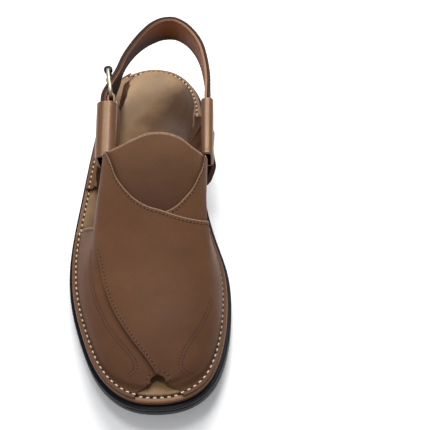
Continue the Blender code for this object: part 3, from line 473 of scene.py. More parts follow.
def plain(name, colour, roughness, scale=400.0, strength=0.3, depth=0.0001, metallic=0.0, sheen=0.5):
    """Even material with a fine break-up of its colour, sheen and surface."""
    made, tree, shader = material(name)
    grain = noise(tree, tree.nodes.new("ShaderNodeTexCoord").outputs["Object"], scale, 3.0)
    soft = tuple(c * 0.82 for c in colour)
    tree.links.new(ramp(tree, grain, [(0.3, soft), (0.7, colour)]), shader.inputs["Base Color"])
    tree.links.new(remap(tree, grain, roughness * 0.85, roughness * 1.15), shader.inputs["Roughness"])
    fill(shader, {"Metallic": metallic, "Specular IOR Level": sheen})
    bump(tree, shader, [(grain, strength, depth)])
    return made


# %% Materials of the shoe
# Painted shade: the upper darkens toward the toe and toward the medial side, where less light falls.
BROWN = leather("upper_brown", [(-0.080, (0.156, 0.073, 0.035)), (0.040, (0.131, 0.059, 0.029)),
                                (0.130, (0.097, 0.043, 0.021))], (0.50, 0.62), sheen=0.11,
                way=(-0.8, 1.0, 0.0))
# Painted shade: the tongue darkens toward its front, where the crossing panels shade it.
TONGUE = leather("tongue_brown", [(-0.012, (0.155, 0.074, 0.036)), (0.010, (0.115, 0.050, 0.023)),
                                  (0.030, (0.060, 0.022, 0.010))], (0.42, 0.55), way=(0.0, 1.0, 0.0))
TUBE = leather("tube_brown", [(0.30, (0.112, 0.049, 0.022)), (0.70, (0.150, 0.068, 0.031))], (0.33, 0.40),
               grain=0.2, sheen=1.0)
fill(TUBE.node_tree.nodes["Principled BSDF"], {"Specular Tint": (1.0, 0.74, 0.52, 1.0)})
STRAP = leather("strap_brown", [(0.30, (0.150, 0.067, 0.035)), (0.70, (0.215, 0.105, 0.058))], (0.36, 0.5))
SUEDE = leather("inner_face", [(0.3, (0.050, 0.020, 0.012)), (0.7, (0.085, 0.036, 0.021))], (0.6, 0.8), 0.5)
# Painted light and shade: the tan is palest at the heel, darkens to the middle and toward the medial side,
# where the tongue, vamp and walls shade it, and pales again toward the toe.
SOCK = leather("sock_tan", [(-0.065, (0.330, 0.212, 0.112)), (-0.051, (0.270, 0.164, 0.082)),
                            (-0.036, (0.105, 0.051, 0.023)), (-0.018, (0.062, 0.027, 0.012)),
                            (0.010, (0.046, 0.018, 0.008)), (0.040, (0.120, 0.062, 0.027)),
                            (0.072, (0.250, 0.150, 0.070))], (0.42, 0.55), sheen=0.14, way=(-1.0, 0.5, 0.0))
RUNNER = leather("runner_brown", [(0.3, (0.178, 0.084, 0.038)), (0.7, (0.250, 0.124, 0.058))],
                 (0.4, 0.55))
# Painted shade: the stitch channels and grooves are dark to stand for the shade inside them.
CHANNEL = plain("stitch_channel", (0.040, 0.015, 0.009), 0.7)
PALE_EDGE = cut_edge("pale_edge", (0.36, 0.23, 0.145), (0.26, 0.155, 0.092))
# Painted shade: this darker cut edge, on the rims of the leather sheets and the runner's side, stands for the
# shade on these narrow faces and under each raised edge.
SHADED_EDGE = cut_edge("shaded_cut_edge", (0.075, 0.034, 0.018), (0.045, 0.019, 0.010))
STRAP_EDGE = cut_edge("strap_edge", (0.40, 0.23, 0.14), (0.27, 0.14, 0.075))
DARK_EDGE = cut_edge("dark_edge", (0.050, 0.022, 0.013), (0.028, 0.012, 0.008))
# Painted light: the strap's rim is lighter on the medial side and darker toward the lateral side.
STRAP_RIM = leather("strap_rim", [(-0.040, (0.300, 0.155, 0.085)), (-0.018, (0.170, 0.080, 0.042)),
                                  (0.008, (0.075, 0.034, 0.018))], (0.6, 0.8), sheen=0.15,
                    way=(1.0, 0.0, 0.0))
# Painted light and shade: the strap's inner face is bright red-brown at its top, where the key lamp catches
# it, and darkens downward and toward the lateral side.
STRAP_LINING = leather("strap_lining", [(0.060, (0.022, 0.008, 0.005)), (0.076, (0.050, 0.017, 0.009)),
                                        (0.084, (0.190, 0.058, 0.023)), (0.092, (0.310, 0.115, 0.050)),
                                        (0.104, (0.400, 0.170, 0.080))], (0.55, 0.68), sheen=0.08,
                       way=(-0.5, 0.0, 1.0))
RUBBER = plain("sole_rubber", (0.0060, 0.0068, 0.0100), 0.42, 900.0, 0.25, sheen=0.12)
THREAD = plain("cream_thread", (0.70, 0.56, 0.39), 0.7, 2500.0, 0.6)
FINE_THREAD = plain("fine_thread", (0.125, 0.066, 0.034), 0.7, 2500.0, 0.6)
# Painted shade: pinholes and stitch holes are dark beads, standing for the shade inside each hole.
HOLE = plain("pinhole", (0.030, 0.012, 0.007), 0.9)
BRASS = plain("pale_brass", (0.56, 0.50, 0.36), 0.36, 300.0, 0.15, 0.00004, metallic=1.0)
# Painted shade: a black sleeve round the buckle's rear bar, with a collar at its top, stands for the far end
# of the brass frame lying in shadow.
BLACK = plain("shaded_rear_bar", (0.004, 0.004, 0.004), 0.45, 700.0, 0.15, sheen=0.15)
# Painted light: a lighter copy of the dark inner-face leather, for the medial wall's lining, where more light
# falls.
LIT_LINING = leather("lit_wall_lining", [(0.3, (0.085, 0.040, 0.022)), (0.7, (0.125, 0.060, 0.034))],
                      (0.5, 0.65))
# Outer face, cut edge, inner face, channel and the rims' darker cut edge; the channel and that edge are dark
# with painted shade.
PANEL_MATS = [BROWN, PALE_EDGE, SUEDE, CHANNEL, SHADED_EDGE]
print("materials", len(bpy.data.materials))

# %% [markdown]
# ## Mesh builders
# `solid` makes an object from points and faces in the shoe's own frame and puts it in the row frame.
# `sheet` closes two grids into a sheet of leather whose rim has its own cut-edge material.

# %% Builders
SAME_POINT = 0.0000005


def mesh_object(name, vertices, faces, mats=(), kinds=None):
    """Object in the row frame whose normals all face out."""
    mesh = bpy.data.meshes.new(name)
    mesh.from_pydata((np.asarray(vertices, float) - CENTRE).tolist(), [], faces)
    for one in mats:
        mesh.materials.append(one)
    if kinds is not None:
        mesh.polygons.foreach_set("material_index", np.asarray(kinds, np.int32))
    made = bpy.data.objects.new(name, mesh)
    bpy.context.scene.collection.objects.link(made)
    work = bmesh.new()
    work.from_mesh(mesh)
    bmesh.ops.remove_doubles(work, verts=work.verts, dist=SAME_POINT)
    bmesh.ops.recalc_face_normals(work, faces=work.faces)
    work.to_mesh(mesh)
    work.free()
    return made


def solid(name, vertices, faces, mats, kinds, stands_for=(), angle=40.0, bevel=0.0):
    made = mesh_object(name, vertices, faces, mats, kinds)
    made.data.shade_smooth()
    made.data.set_sharp_from_angle(angle=math.radians(angle))
    if bevel:
        step = made.modifiers.new("soft_edges", "BEVEL")
        step.width, step.segments, step.limit_method = bevel, 2, "ANGLE"
        step.angle_limit = math.radians(50)
    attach(made, "root")
    if stands_for:
        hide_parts(*stands_for)
    return made


def sheet(name, low, high, mats, slot, stands_for=(), groove=(), rims=(1, 1, 1, 1), bevel=0.00025, lip=0):
    """mats: outer face, cut edge, inner face, channel, second cut edge; the channel and the second cut edge
    are
    dark with painted shade. rims: first row, last row, first column, last column. lip: how many rows beside
    the first have the cut edge's colour on the outer face."""
    rows, columns = low.shape[:2]
    count = rows * columns
    vertices = np.vstack([low.reshape(-1, 3), high.reshape(-1, 3)])
    faces, kinds = [], []
    for i in range(rows - 1):
        for j in range(columns - 1):
            a = i * columns + j
            b, c, d = a + 1, a + columns + 1, a + columns
            faces += [(a, b, c, d), (count + a, count + d, count + c, count + b)]
            kinds += [2, 3 if j in groove else 1 if i < lip else 0]
    for j in range(columns - 1):
        a, b = j, j + 1
        faces += [(a, count + a, count + b, b)]
        a, b = a + (rows - 1) * columns, b + (rows - 1) * columns
        faces += [(b, count + b, count + a, a)]
        kinds += [rims[0], rims[1]]
    for i in range(rows - 1):
        a, b = i * columns, (i + 1) * columns
        faces += [(b, count + b, count + a, a)]
        a, b = a + columns - 1, b + columns - 1
        faces += [(a, count + a, count + b, b)]
        kinds += [rims[2], rims[3]]
    return solid(name, vertices, faces, mats, kinds, stands_for, bevel=bevel)


def bands_between(levels, size, start=0, closed=False):
    """Faces between rings of points, level by level."""
    faces = []
    for level in range(levels if closed else levels - 1):
        a, b = start + level * size, start + (level + 1) % levels * size
        faces += [(a + k, a + (k + 1) % size, b + (k + 1) % size, b + k) for k in range(size)]
    return faces


def stack(name, rings, mats, kinds, stands_for, angle=40.0):
    """Solid between rings. kinds gives the material of each band, then of the two ends."""
    count = len(rings[0])
    faces = bands_between(len(rings), count)
    sizes = [count] * (len(rings) - 1) + [count // 2] * 2
    for base in (0, (len(rings) - 1) * count):
        for i in range(count // 2):
            corners = (base + i, base + i + 1, base + count - i - 1, base + (count - i) % count)
            faces.append(tuple(dict.fromkeys(corners)))
    return solid(name, np.vstack(rings), faces, mats, np.repeat(kinds, sizes), stands_for, angle=angle)


def beads(name, places, alongs, ups, size, mats, pick=None, segments=8):
    """Short rounded stitches or holes, each at its place and along its direction. size: length, radius
    across and radius upward. pick: the material of each bead."""
    length, wide, tall = size
    bands = np.array([-1.0, -0.86, -0.5, 0.0, 0.5, 0.86, 1.0])
    fat = np.array([0.02, 0.62, 0.95, 1.0, 0.95, 0.62, 0.02])
    turn = np.linspace(0.0, 2 * math.pi, segments, endpoint=False)
    vertices, faces, kinds = [], [], []
    for number, (place, along, up) in enumerate(zip(places, alongs, ups)):
        across = unit(np.cross(along, up))
        up = np.cross(across, along)
        base = len(vertices)
        for band, width in zip(bands, fat):
            for angle in turn:
                vertices.append(place + along * band * length / 2 +
                                across * math.cos(angle) * wide * width + up * math.sin(angle) * tall * width)
        faces += bands_between(len(bands), segments, base)
        faces.append(tuple(base + m for m in range(segments))[::-1])
        faces.append(tuple(base + (len(bands) - 1) * segments + m for m in range(segments)))
        kinds += [pick[number] if pick else 0] * ((len(bands) - 1) * segments + 2)
    return solid(name, vertices, faces, mats, kinds, angle=80.0)


def sweep(name, path, profiles, ups, mats, stands_for=(), sides=None, closed=False, angle=40.0):
    """Solid swept along a path. profiles and ups: one for the whole path, or one for each of its points.
    sides: the material of each side of the profile."""
    path = np.array(path)
    count = len(path)
    ahead = np.roll(path, -1, 0) if closed else np.vstack([path[1:], path[-1:]])
    behind = np.roll(path, 1, 0) if closed else np.vstack([path[:1], path[:-1]])
    along = unit(ahead - behind)
    across = unit(np.cross(along, ups))
    up = np.cross(across, along)
    profiles = np.broadcast_to(profiles, (count,) + np.shape(profiles)[-2:])
    vertices = path[:, None] + profiles[:, :, :1] * across[:, None] + profiles[:, :, 1:] * up[:, None]
    size = vertices.shape[1]
    faces = bands_between(count, size, closed=closed)
    kinds = (sides or [0] * size) * (len(faces) // size)
    if not closed:
        faces += [tuple(range(size))[::-1], tuple((count - 1) * size + k for k in range(size))]
        kinds += [kinds[0], kinds[0]]
    return solid(name, vertices.reshape(-1, 3), faces, mats, kinds, stands_for, angle=angle)


# %% [markdown]
# ## Sole
# The rubber unit has a fine line round its side and grooves below. The leather runner lies on it, and the
# stitches lie in a channel darkened with painted shade, which runs all round, 3.3 mm inside its edge.

# %% Rubber outsole
SHARES = stations(150)


def build_outsole():
    """The rows hold an offset from the ledge's edge, a surface, and the height from it."""
    bottom, top = outsole_bottom, outsole_top
    rows = [
        (-0.0030, bottom, 0.0), (-0.0018, bottom, 0.0004), (-0.0007, bottom, 0.0018),
        (-0.0001, bottom, 0.0036), (0.0, bottom, 0.0052), (0.0, top, -0.0046), (-0.0003, top, -0.0042),
        (-0.0008, top, -0.0040), (-0.0008, top, -0.0034), (-0.0003, top, -0.0032), (0.0, top, -0.0029),
        (0.0, top, -0.0014), (-0.0004, top, -0.0004), (-0.0013, top, 0.0),
    ]
    rings = [ring(LEDGE + offset, base, rise, SHARES) for offset, base, rise in rows]
    made = stack("outsole_rubber", rings, [RUBBER], [0] * (len(rings) + 1), ("outsole",), 50.0)
    heel = np.arange(0.30 * HEEL_BLOCK, 0.95 * HEEL_BLOCK, TREAD_PITCH)
    fore = np.arange(0.52 * LENGTH, 0.96 * LENGTH, TREAD_PITCH)
    vertices, faces = [], []
    for middle in (*heel, *fore):
        lift = float(max(bottom(middle - TREAD_WIDTH / 2), bottom(middle + TREAD_WIDTH / 2)))
        base = len(vertices)
        vertices += [(x, middle + y * TREAD_WIDTH / 2, z) for x in (-WIDTH, WIDTH) for y in (-1, 1)
                     for z in (lift - 0.01, lift + TREAD_DEPTH)]
        for side in [(0, 1, 3, 2), (4, 6, 7, 5), (0, 4, 5, 1), (2, 3, 7, 6), (0, 2, 6, 4), (1, 5, 7, 3)]:
            faces.append(tuple(base + k for k in side))
    tool = mesh_object("tread", vertices, faces)
    step = made.modifiers.new("tread", "BOOLEAN")
    step.operation, step.solver, step.object = "DIFFERENCE", "EXACT", tool
    bpy.context.view_layer.update()
    cut = bpy.data.meshes.new_from_object(made.evaluated_get(bpy.context.evaluated_depsgraph_get()))
    made.modifiers.clear()
    made.data = cut
    cut.set_sharp_from_angle(angle=math.radians(40))
    bpy.data.objects.remove(tool, do_unlink=True)
    return made


print("outsole faces", len(build_outsole().data.polygons))

# %% Runner and sock lining
def build_runner():
    rows = [
        (-0.0008, -MIDSOLE_THICK), (-0.0001, 0.0006 - MIDSOLE_THICK), (0.0, 0.0012 - MIDSOLE_THICK),
        (0.0, -0.0022), (-0.0001, -0.0012), (-0.0004, -0.0005), (-0.0009, -0.0001), (-0.0016, 0.0),
        (-0.0026, 0.0), (-0.0029, -CHANNEL_DEPTH), (-0.0037, -CHANNEL_DEPTH), (-0.0040, 0.0),
    ]
    rings = [ring(offset, midsole_top, rise, SHARES) for offset, rise in rows]
    # The runner's side takes the darker cut edge and its channel the dark channel colour: both painted shade.
    kinds = [1, 1, 1, 1, 0, 0, 0, 0, 2, 2, 2, 1, 0]
    return stack("runner", rings, [RUNNER, SHADED_EDGE, CHANNEL], kinds, ("midsole",))


def build_sock():
    rows = [(0.0, 0.0), (0.0, 0.0008), (-0.0003, 0.0013), (-0.0009, INSOLE_THICK),
            (-0.0060, INSOLE_THICK - 0.0001)]
    rings = [ring(offset, midsole_top, GAP + rise, SHARES, LINING_EDGE) for offset, rise in rows]
    return stack("sock_lining", rings, [SOCK, PALE_EDGE], [1, 1, 0, 0, 1, 0], ("insole",))


build_runner()
print("lining faces", len(build_sock().data.polygons))

# %% [markdown]
# ## Vamp
# Two panels cross over the instep. Each is sewn to one side of the sole, turns out on to the runner, and
# reaches over the other. The tongue lies under both.

# %% Vamp panels
def coons(neck, toe, edge_line, welt, rows, columns):
    """Grid of places between four border lines that meet at its corners."""
    u = np.linspace(0.0, 1.0, rows)[:, None, None]
    v = np.linspace(0.0, 1.0, columns)[None, :, None]
    neck, toe = neck[None, :, :], toe[None, :, :]
    edge_line, welt = edge_line[:, None, :], welt[:, None, :]
    corners = ((1 - u) * (1 - v) * neck[:, :1] + (1 - u) * v * neck[:, -1:] +
               u * (1 - v) * toe[:, :1] + u * v * toe[:, -1:])
    return (1 - u) * neck + u * toe + (1 - v) * edge_line + v * welt - corners


TURNS = (1.08, 1.16, 1.24, 1.32, 1.40, 1.47, 1.51, 1.54, 1.63, 1.66, 1.78, 1.92, 2.0)
GROOVE = (1.54, 1.63)
LIP = 0.7       # width of the lip beside a panel's first row, as a share of a row of the grid
TONGUE_THICK = 0.85 * LEATHER


def raised(grid, *depths):
    """Points above a grid of places on the last, at each of the depths from its surface."""
    places = grid.reshape(-1, 2).T
    base, normal = foot(*places), foot_normal(*places)
    levels = [np.broadcast_to(depth, grid.shape[:2]).reshape(-1, 1) for depth in depths]
    return [(base + normal * level).reshape(grid.shape[:2] + (3,)) for level in levels]


def panel_grids(tables, side, levels):
    """Inner and outer points of a panel, rows from neck to toe, columns from the free edge to the flange."""
    edge_rows, neck_rows, welt_rows, toe_rows = tables
    rows, columns, tip = 120, 66, 9
    free_end = through([edge_rows[0], neck_rows[0]], tip)
    neck = np.vstack([free_end[:-1], through(neck_rows, columns - tip + 1)])
    grid = coons(neck, through(toe_rows, columns), through(edge_rows, rows), through(welt_rows, rows), rows,
                 columns)
    turn = [np.stack([grid[:, -1, 0], np.full(rows, side * place)], axis=1) for place in TURNS]
    grid = np.concatenate([grid] + [extra[:, None, :] for extra in turn], axis=1)
    across = np.minimum(np.arange(grid.shape[1]) / (columns - 1), 1.0)[None, :]
    grid = np.concatenate([grid[:1], grid[:1] * (1 - LIP) + grid[1:2] * LIP, grid[1:]])
    along = np.array([0.0, LIP / (rows - 1), *np.linspace(0.0, 1.0, rows)[1:]])[:, None]
    neck_inner, neck_outer, body_inner, body_outer = levels
    settle = ease(along / 0.35)
    inner = neck_inner + (body_inner - neck_inner) * settle
    outer = neck_outer + (body_outer - neck_outer) * settle
    to_welt = ease((across - 0.55) / 0.40)
    inner = inner * (1 - to_welt)
    outer = outer * (1 - to_welt) + LEATHER * to_welt
    for number, place in enumerate(TURNS):
        if place in GROOVE:
            outer[:, columns + number] -= CHANNEL_DEPTH
    first = columns - 1 + TURNS.index(GROOVE[0])
    return *raised(grid, inner, outer), (first, first + 1, first + 2)


def build_panel(name, tables, side, levels):
    """levels: inner and outer face at the neck, then over the body, as shares of the leather's thickness."""
    low, high, groove = panel_grids(tables, side, [level * LEATHER for level in levels])
    made = sheet(name, low, high, PANEL_MATS, "upper_leather", ("upper",), groove, (4, 4, 4, 4), lip=1)
    return made, low, high


over, OVER_LOW, OVER_HIGH = build_panel("vamp_over", (OVER_EDGE, OVER_NECK, OVER_WELT, OVER_TOE), MEDIAL,
                                        (1.10, 2.30, 0.50, 2.00))
under, UNDER_LOW, UNDER_HIGH = build_panel("vamp_under", (UNDER_EDGE, UNDER_NECK, UNDER_WELT, UNDER_TOE),
                                           LATERAL, (0.40, 1.50, 0.0, 1.0))


def build_tongue():
    rows, columns = 50, 64
    top, front = through(TONGUE_TOP, columns), through(TONGUE_FRONT, columns)
    u = np.linspace(0.0, 1.0, rows)[:, None, None]
    low, high = raised((1 - u) * top[None] + u * front[None], 0.0, TONGUE_THICK)
    return sheet("tongue", low, high, [TONGUE] + PANEL_MATS[1:], "upper_leather", ("upper",),
                 rims=(1, 4, 4, 4), lip=1)


tongue = build_tongue()
print("panel points", OVER_HIGH.shape, UNDER_HIGH.shape)

# %% [markdown]
# ## Side walls and their tubes
# Each wall rises from the runner and rolls into a tube that holds the heel strap.

# %% Tubes and walls
def tube_axis(side):
    """Middle of a tube's front mouth and of its rear mouth."""
    front_x, rear_x = {LATERAL: (0.260, 0.252), MEDIAL: (-0.388, -0.402)}[side]
    front_y = TUBE_FRONT * LENGTH
    front = np.array([front_x * WIDTH, front_y, TUBE_TOP - TUBE_FALL])
    rear = np.array([rear_x * WIDTH, front_y - TUBE_LENGTH, TUBE_TOP])
    return front, rear


def tube_point(side, run, across):
    front, rear = tube_axis(side)
    return front * (1 - run) + rear * run + np.array([side * across, 0.0, 0.0])


def tube_room(side):
    """Half width and half height of the room inside a tube."""
    strap = STRAP_THICK / 2 + 1.5 * GAP
    tab = TAB_LEATHER + WIRE + 2.5 * GAP
    return (strap + tab if side == LATERAL else strap), TUBE_HEIGHT / 2 - TUBE_WALL


def oblong(thick, tall, bend, per_corner=5):
    points = []
    for x, y, start in ((1, 1, 0), (-1, 1, 90), (-1, -1, 180), (1, -1, 270)):
        for angle in np.radians(np.linspace(start, start + 90, per_corner)):
            points.append((x * (thick - bend) + bend * math.cos(angle),
                           y * (tall - bend) + bend * math.sin(angle)))
    return np.array(points)


def tube_profile(side, depth, swell=0.0, per_corner=5):
    """Outline in a tube's wall: depth is 0 at the room inside and 1 at the much rounder outer face."""
    thick, tall = tube_room(side)
    inner_bend, outer_bend = 0.30 * thick, 0.80 * (thick + TUBE_WALL)
    return oblong(thick + depth * TUBE_WALL + swell, tall + depth * TUBE_WALL + swell,
                  inner_bend + (outer_bend - inner_bend) * depth + swell, per_corner)


def build_tube(side):
    """The outer face has a slight lip at both mouths, where the leather is folded in."""
    front, rear = tube_axis(side)
    along = unit(rear - front)
    across = unit(np.cross(along, UP))
    up = np.cross(across, along)
    mouth = np.array([0.0, 0.006, 0.014, 0.028, 0.040, 0.055])
    places = np.array([*mouth, *np.linspace(0.08, 0.92, 22), *(1 - mouth)[::-1]])
    lines = []
    for depth in (1.0, 0.0):
        rows = []
        for t in places:
            end = min(t, 1 - t)
            fold = -0.0005 * math.exp(-end / 0.004) - 0.0002 * math.exp(-((end - 0.045) / 0.008)**2)
            profile = tube_profile(side, depth, fold * depth, 16)
            middle = front * (1 - t) + rear * t
            rows.append(middle + profile[:, :1] * across + profile[:, 1:] * up)
        lines.append(rows)
    vertices = np.array(lines).reshape(-1, 3)
    count, shift = len(lines[0][0]), len(vertices) // 2
    faces = bands_between(len(places), count)
    faces += [(p, s, r, q) for p, q, r, s in bands_between(len(places), count, shift)]
    kinds = [0] * (len(faces) // 2) + [2] * (len(faces) // 2) + [1] * 2 * count
    end = shift - count
    for i in range(count):
        j = (i + 1) % count
        faces += [(i, shift + i, shift + j, j), (end + i, end + j, shift + end + j, shift + end + i)]
    return solid("tube_" + WORDS[side], vertices, faces, [TUBE, PALE_EDGE, SUEDE], kinds)


def tube_seam(side, back):
    """Where a wall meets its tube, measured from the tube's middle line."""
    tall = tube_room(side)[1]
    lines = []
    for depth in (0.1, 0.9):
        profile = tube_profile(side, depth)
        start = np.array([[profile[:, 0].max(), -0.25 * tall]])
        lines.append(np.vstack([start, profile[15:20][::-1], profile[13:15][::-1]]))
    run = running(lines[0])
    place = run[-1] * back**1.3
    points = []
    for k in range(2):
        near, far = (np.interp(place, run, line[:, k]) for line in lines)
        points.append(near + (far - near) * back)
    return np.stack([side * points[0], np.zeros(len(back)), points[1]], axis=1)


WALL_LEVELS = 56


def wall_grids(side):
    """Inner and outer points of a wall, rows from front to back, columns from the flange up to the tube."""
    rows = 64
    start, end, back_swell = QUARTER_BASE[side]
    shares = np.linspace(start, end, rows)
    grid = [on_edge(shares, side, offset, GAP) for offset in WALL_FLANGE]
    corner = on_edge(shares, side, -FEATHER_INSET, GAP)
    back = np.linspace(0.0, 1.0, rows)
    top = np.array([tube_point(side, 0.02 + 0.96 * t, 0.0) for t in back]) + tube_seam(side, back)
    heights = np.linspace(0.0, 1.0, WALL_LEVELS)[1:]
    wall = np.array(QUARTER_WALL[side])
    shape = hermite(wall[:, 0], wall[:, 1:], heights)
    forward = hermite(SCALLOP[:, 0], SCALLOP[:, 1], heights) * LENGTH
    spread = hermite(FRONT_SPREAD[side][:, 0], FRONT_SPREAD[side][:, 1], heights)
    for height, (inward, swell), move, wider in zip(heights, shape, forward, spread):
        point = corner + (top - corner) * height
        quick = 1 - (1 - min(height / 0.22, 1.0))**2 if side == LATERAL else height
        reach = inward + (quick - inward) * back
        bulge = swell * (1 - back) + back_swell * 4 * height * (1 - height) * back
        point[:, 0] = corner[:, 0] + (top - corner)[:, 0] * reach + side * WIDTH * bulge
        point[:, 0] += side * wider * (1 - back)**4
        point[:, 1] += move * (1 - back)**3
        grid.append(point)
    low = np.stack(grid, axis=1)
    flange = len(WALL_FLANGE)
    normal = unit(np.cross(np.gradient(low, axis=1), np.gradient(low, axis=0)) * side)
    normal[:, :flange] = UP
    for _ in range(3):
        normal[:, 3:-1] = unit(normal[:, 3:-1] + (normal[:, 2:-2] + normal[:, 4:]) / 2)
    thickness = np.full(low.shape[:2], 2 * LEATHER)
    thickness[:, :flange] = LEATHER
    thickness[:, 3:5] -= CHANNEL_DEPTH
    thickness[:, flange:] += (0.8 * TUBE_WALL - 2 * LEATHER) * ease((heights - 0.50) / 0.40)
    thickness[:, flange:] = np.minimum(thickness[:, flange:], LEATHER * (1 + ease(heights / 0.12))[None, :])
    return low, low + normal * thickness[:, :, None]


for side, word in WORDS.items():
    wall = sheet("wall_" + word, *wall_grids(side), PANEL_MATS, "upper_leather", ("quarter_" + word,),
                 (2, 3, 4), (4, 1, 4, 4))
    build_tube(side)
    print("wall", word, len(wall.data.polygons))

# %% Lining of the walls
# Foot line of a lining: share of the length, and distance from the runner's edge.
LINING_FOOT = {
    LATERAL: [(0.004, 0.0075), (0.022, 0.0090), (0.060, 0.0125), (0.092, 0.0150), (0.130, 0.0150),
              (0.160, 0.0140), (0.220, 0.0145), (0.275, 0.0160), (0.440, 0.0160)],
    MEDIAL: [(0.180, 0.0045), (0.226, 0.0045), (0.272, 0.0075), (0.300, 0.0088), (0.360, 0.0105),
             (0.440, 0.0120)],
}
INTO_WALL = 0.1         # where the lining leaves the wall, as a share of the wall's thickness
BELOW_RIM = 0.0011      # how far its upper line lies below the wall's rim
SEAM_ROWS = 48          # how many rows of the wall it follows forward below the tube
SAG = 0.10              # how far it sags, as a share of its height
LINING_STEP = 0.0007    # its thickness, inward and upward


def build_lining(side):
    """Thin lining from a wall's rear edge, and farther forward from below its tube, down on to the sock."""
    low, high = wall_grids(side)
    inside = low + (high - low) * INTO_WALL
    rear = inside[-1, 2 + len(low[0]) - WALL_LEVELS:]
    seam = inside[::-1, -1][1:SEAM_ROWS]
    top = np.vstack([rear, seam])
    top[:, 2] -= BELOW_RIM
    share = top[:, 1] / LENGTH
    inset = np.interp(share, *np.transpose(LINING_FOOT[side]))
    foot_line = on_edge(share, side, -inset, GAP + INSOLE_THICK + 0.0001)
    drop = np.linalg.norm(top - foot_line, axis=1)[:, None] * UP
    face = [top * (1 - t) + foot_line * t - 4 * SAG * t * (1 - t) * drop for t in np.linspace(0.0, 1.0, 16)]
    face = np.stack(face, axis=1)
    inward = np.array([-side * LINING_STEP, 0.0, LINING_STEP])
    # The medial lining takes the lighter copy of the inner-face leather: painted light.
    return sheet("wall_lining_" + WORDS[side], face, face + inward,
                 [SUEDE if side == LATERAL else LIT_LINING] + PANEL_MATS[1:], "upper_leather",
                 rims=(4, 4, 4, 4), bevel=0.0001)


for side in WORDS:
    print("lining faces", len(build_lining(side).data.polygons))

# %% [markdown]
# ## Heel strap and buckle
# The strap is two layers with a groove between them, reddish at the edges and dark inside; the inner face
# has painted light at its top and painted shade below, and the groove painted shade. It passes inside the
# buckle's rear bar and outside its front bar, into the lateral tube.

# %% Strap
def tab_across():
    return tube_room(LATERAL)[0] - (WIRE + GAP + TAB_LEATHER) - GAP


def buckle_bars():
    front = tube_point(LATERAL, 1 + BAR_REACH / TUBE_LENGTH, -tab_across())
    rear = front + np.array([FRAME_SPLAY, -math.sqrt(FRAME_LENGTH**2 - FRAME_SPLAY**2), 0.0])
    return front, rear


def strap_path(count):
    free = np.array(STRAP_LOOP) * np.array([WIDTH, LENGTH, STRAP_HEIGHT, 1.0, 1.0])
    front, rear = buckle_bars()
    beside_tab = tube_room(LATERAL)[0] - STRAP_THICK / 2 - 3 * GAP
    tubes = [tube_point(MEDIAL, run, 0.0) for run in (0.2, 0.6, 1.0)]
    buckle = [rear + np.array([-2.8 * WIRE - 0.6 * STRAP_THICK, 0.0, 0.0]), (front + rear) / 2,
              front + np.array([0.0052, -0.0010, -0.0006])]
    tubes_out = [tube_point(LATERAL, run, beside_tab) for run in (0.93, 0.57, 0.2)]
    rows = [np.append(point, (0.0, 0.0)) for point in tubes] + list(free)
    rows += [np.append(point, (0.0, lean)) for point, lean in zip(buckle, (0.16, 0.06, 0.0))]
    rows += [np.append(point, (0.0, 0.0)) for point in tubes_out]
    return through(rows, count, scale=(1.0, 1.0))


def strap_profile(tall):
    half, top, bend, groove, depth = STRAP_THICK / 2, tall / 2, 0.0006, 0.00025, 0.0008
    arc = np.radians(np.linspace(0, 90, 4))
    right = [(half - bend + bend * math.cos(a), top - bend + bend * math.sin(a)) for a in arc]
    notch = [(groove, top - 0.0001), (0.0, top - depth), (-groove, top - 0.0001)]
    left = [(-x, y) for x, y in right[::-1]]
    upper = right + notch + left
    lower = [(-x, -y) for x, y in upper]
    return np.array(upper + lower)


def build_strap():
    path = strap_path(220)
    along = unit(np.gradient(path[:, :2], axis=0))
    inward = np.stack([-along[:, 1], along[:, 0], np.zeros(len(path))], axis=1)
    upright = UP + inward * path[:, 4:5]
    tall = STRAP_NARROW + (STRAP_WIDE - STRAP_NARROW) * path[:, 3]
    sides = [1, 4, 4, 4, 3, 3, 5, 5, 1, 1, 2, 2, 1, 5, 5, 3, 3, 4, 4, 4, 1, 0]
    made = sweep("strap_leather", path[:, :3], [strap_profile(size) for size in tall], upright,
                 [STRAP, STRAP_EDGE, STRAP_LINING, CHANNEL, DARK_EDGE, STRAP_RIM],
                 ("heel_strap",), sides)
    return made, path, upright, tall


strap, STRAP_LINE, STRAP_UP, STRAP_TALL = build_strap()


# %% Buckle and tab
def round_profile(radius, count):
    angle = np.linspace(0.0, 2 * math.pi, count, endpoint=False)
    return np.stack([np.cos(angle), np.sin(angle)], axis=1) * radius


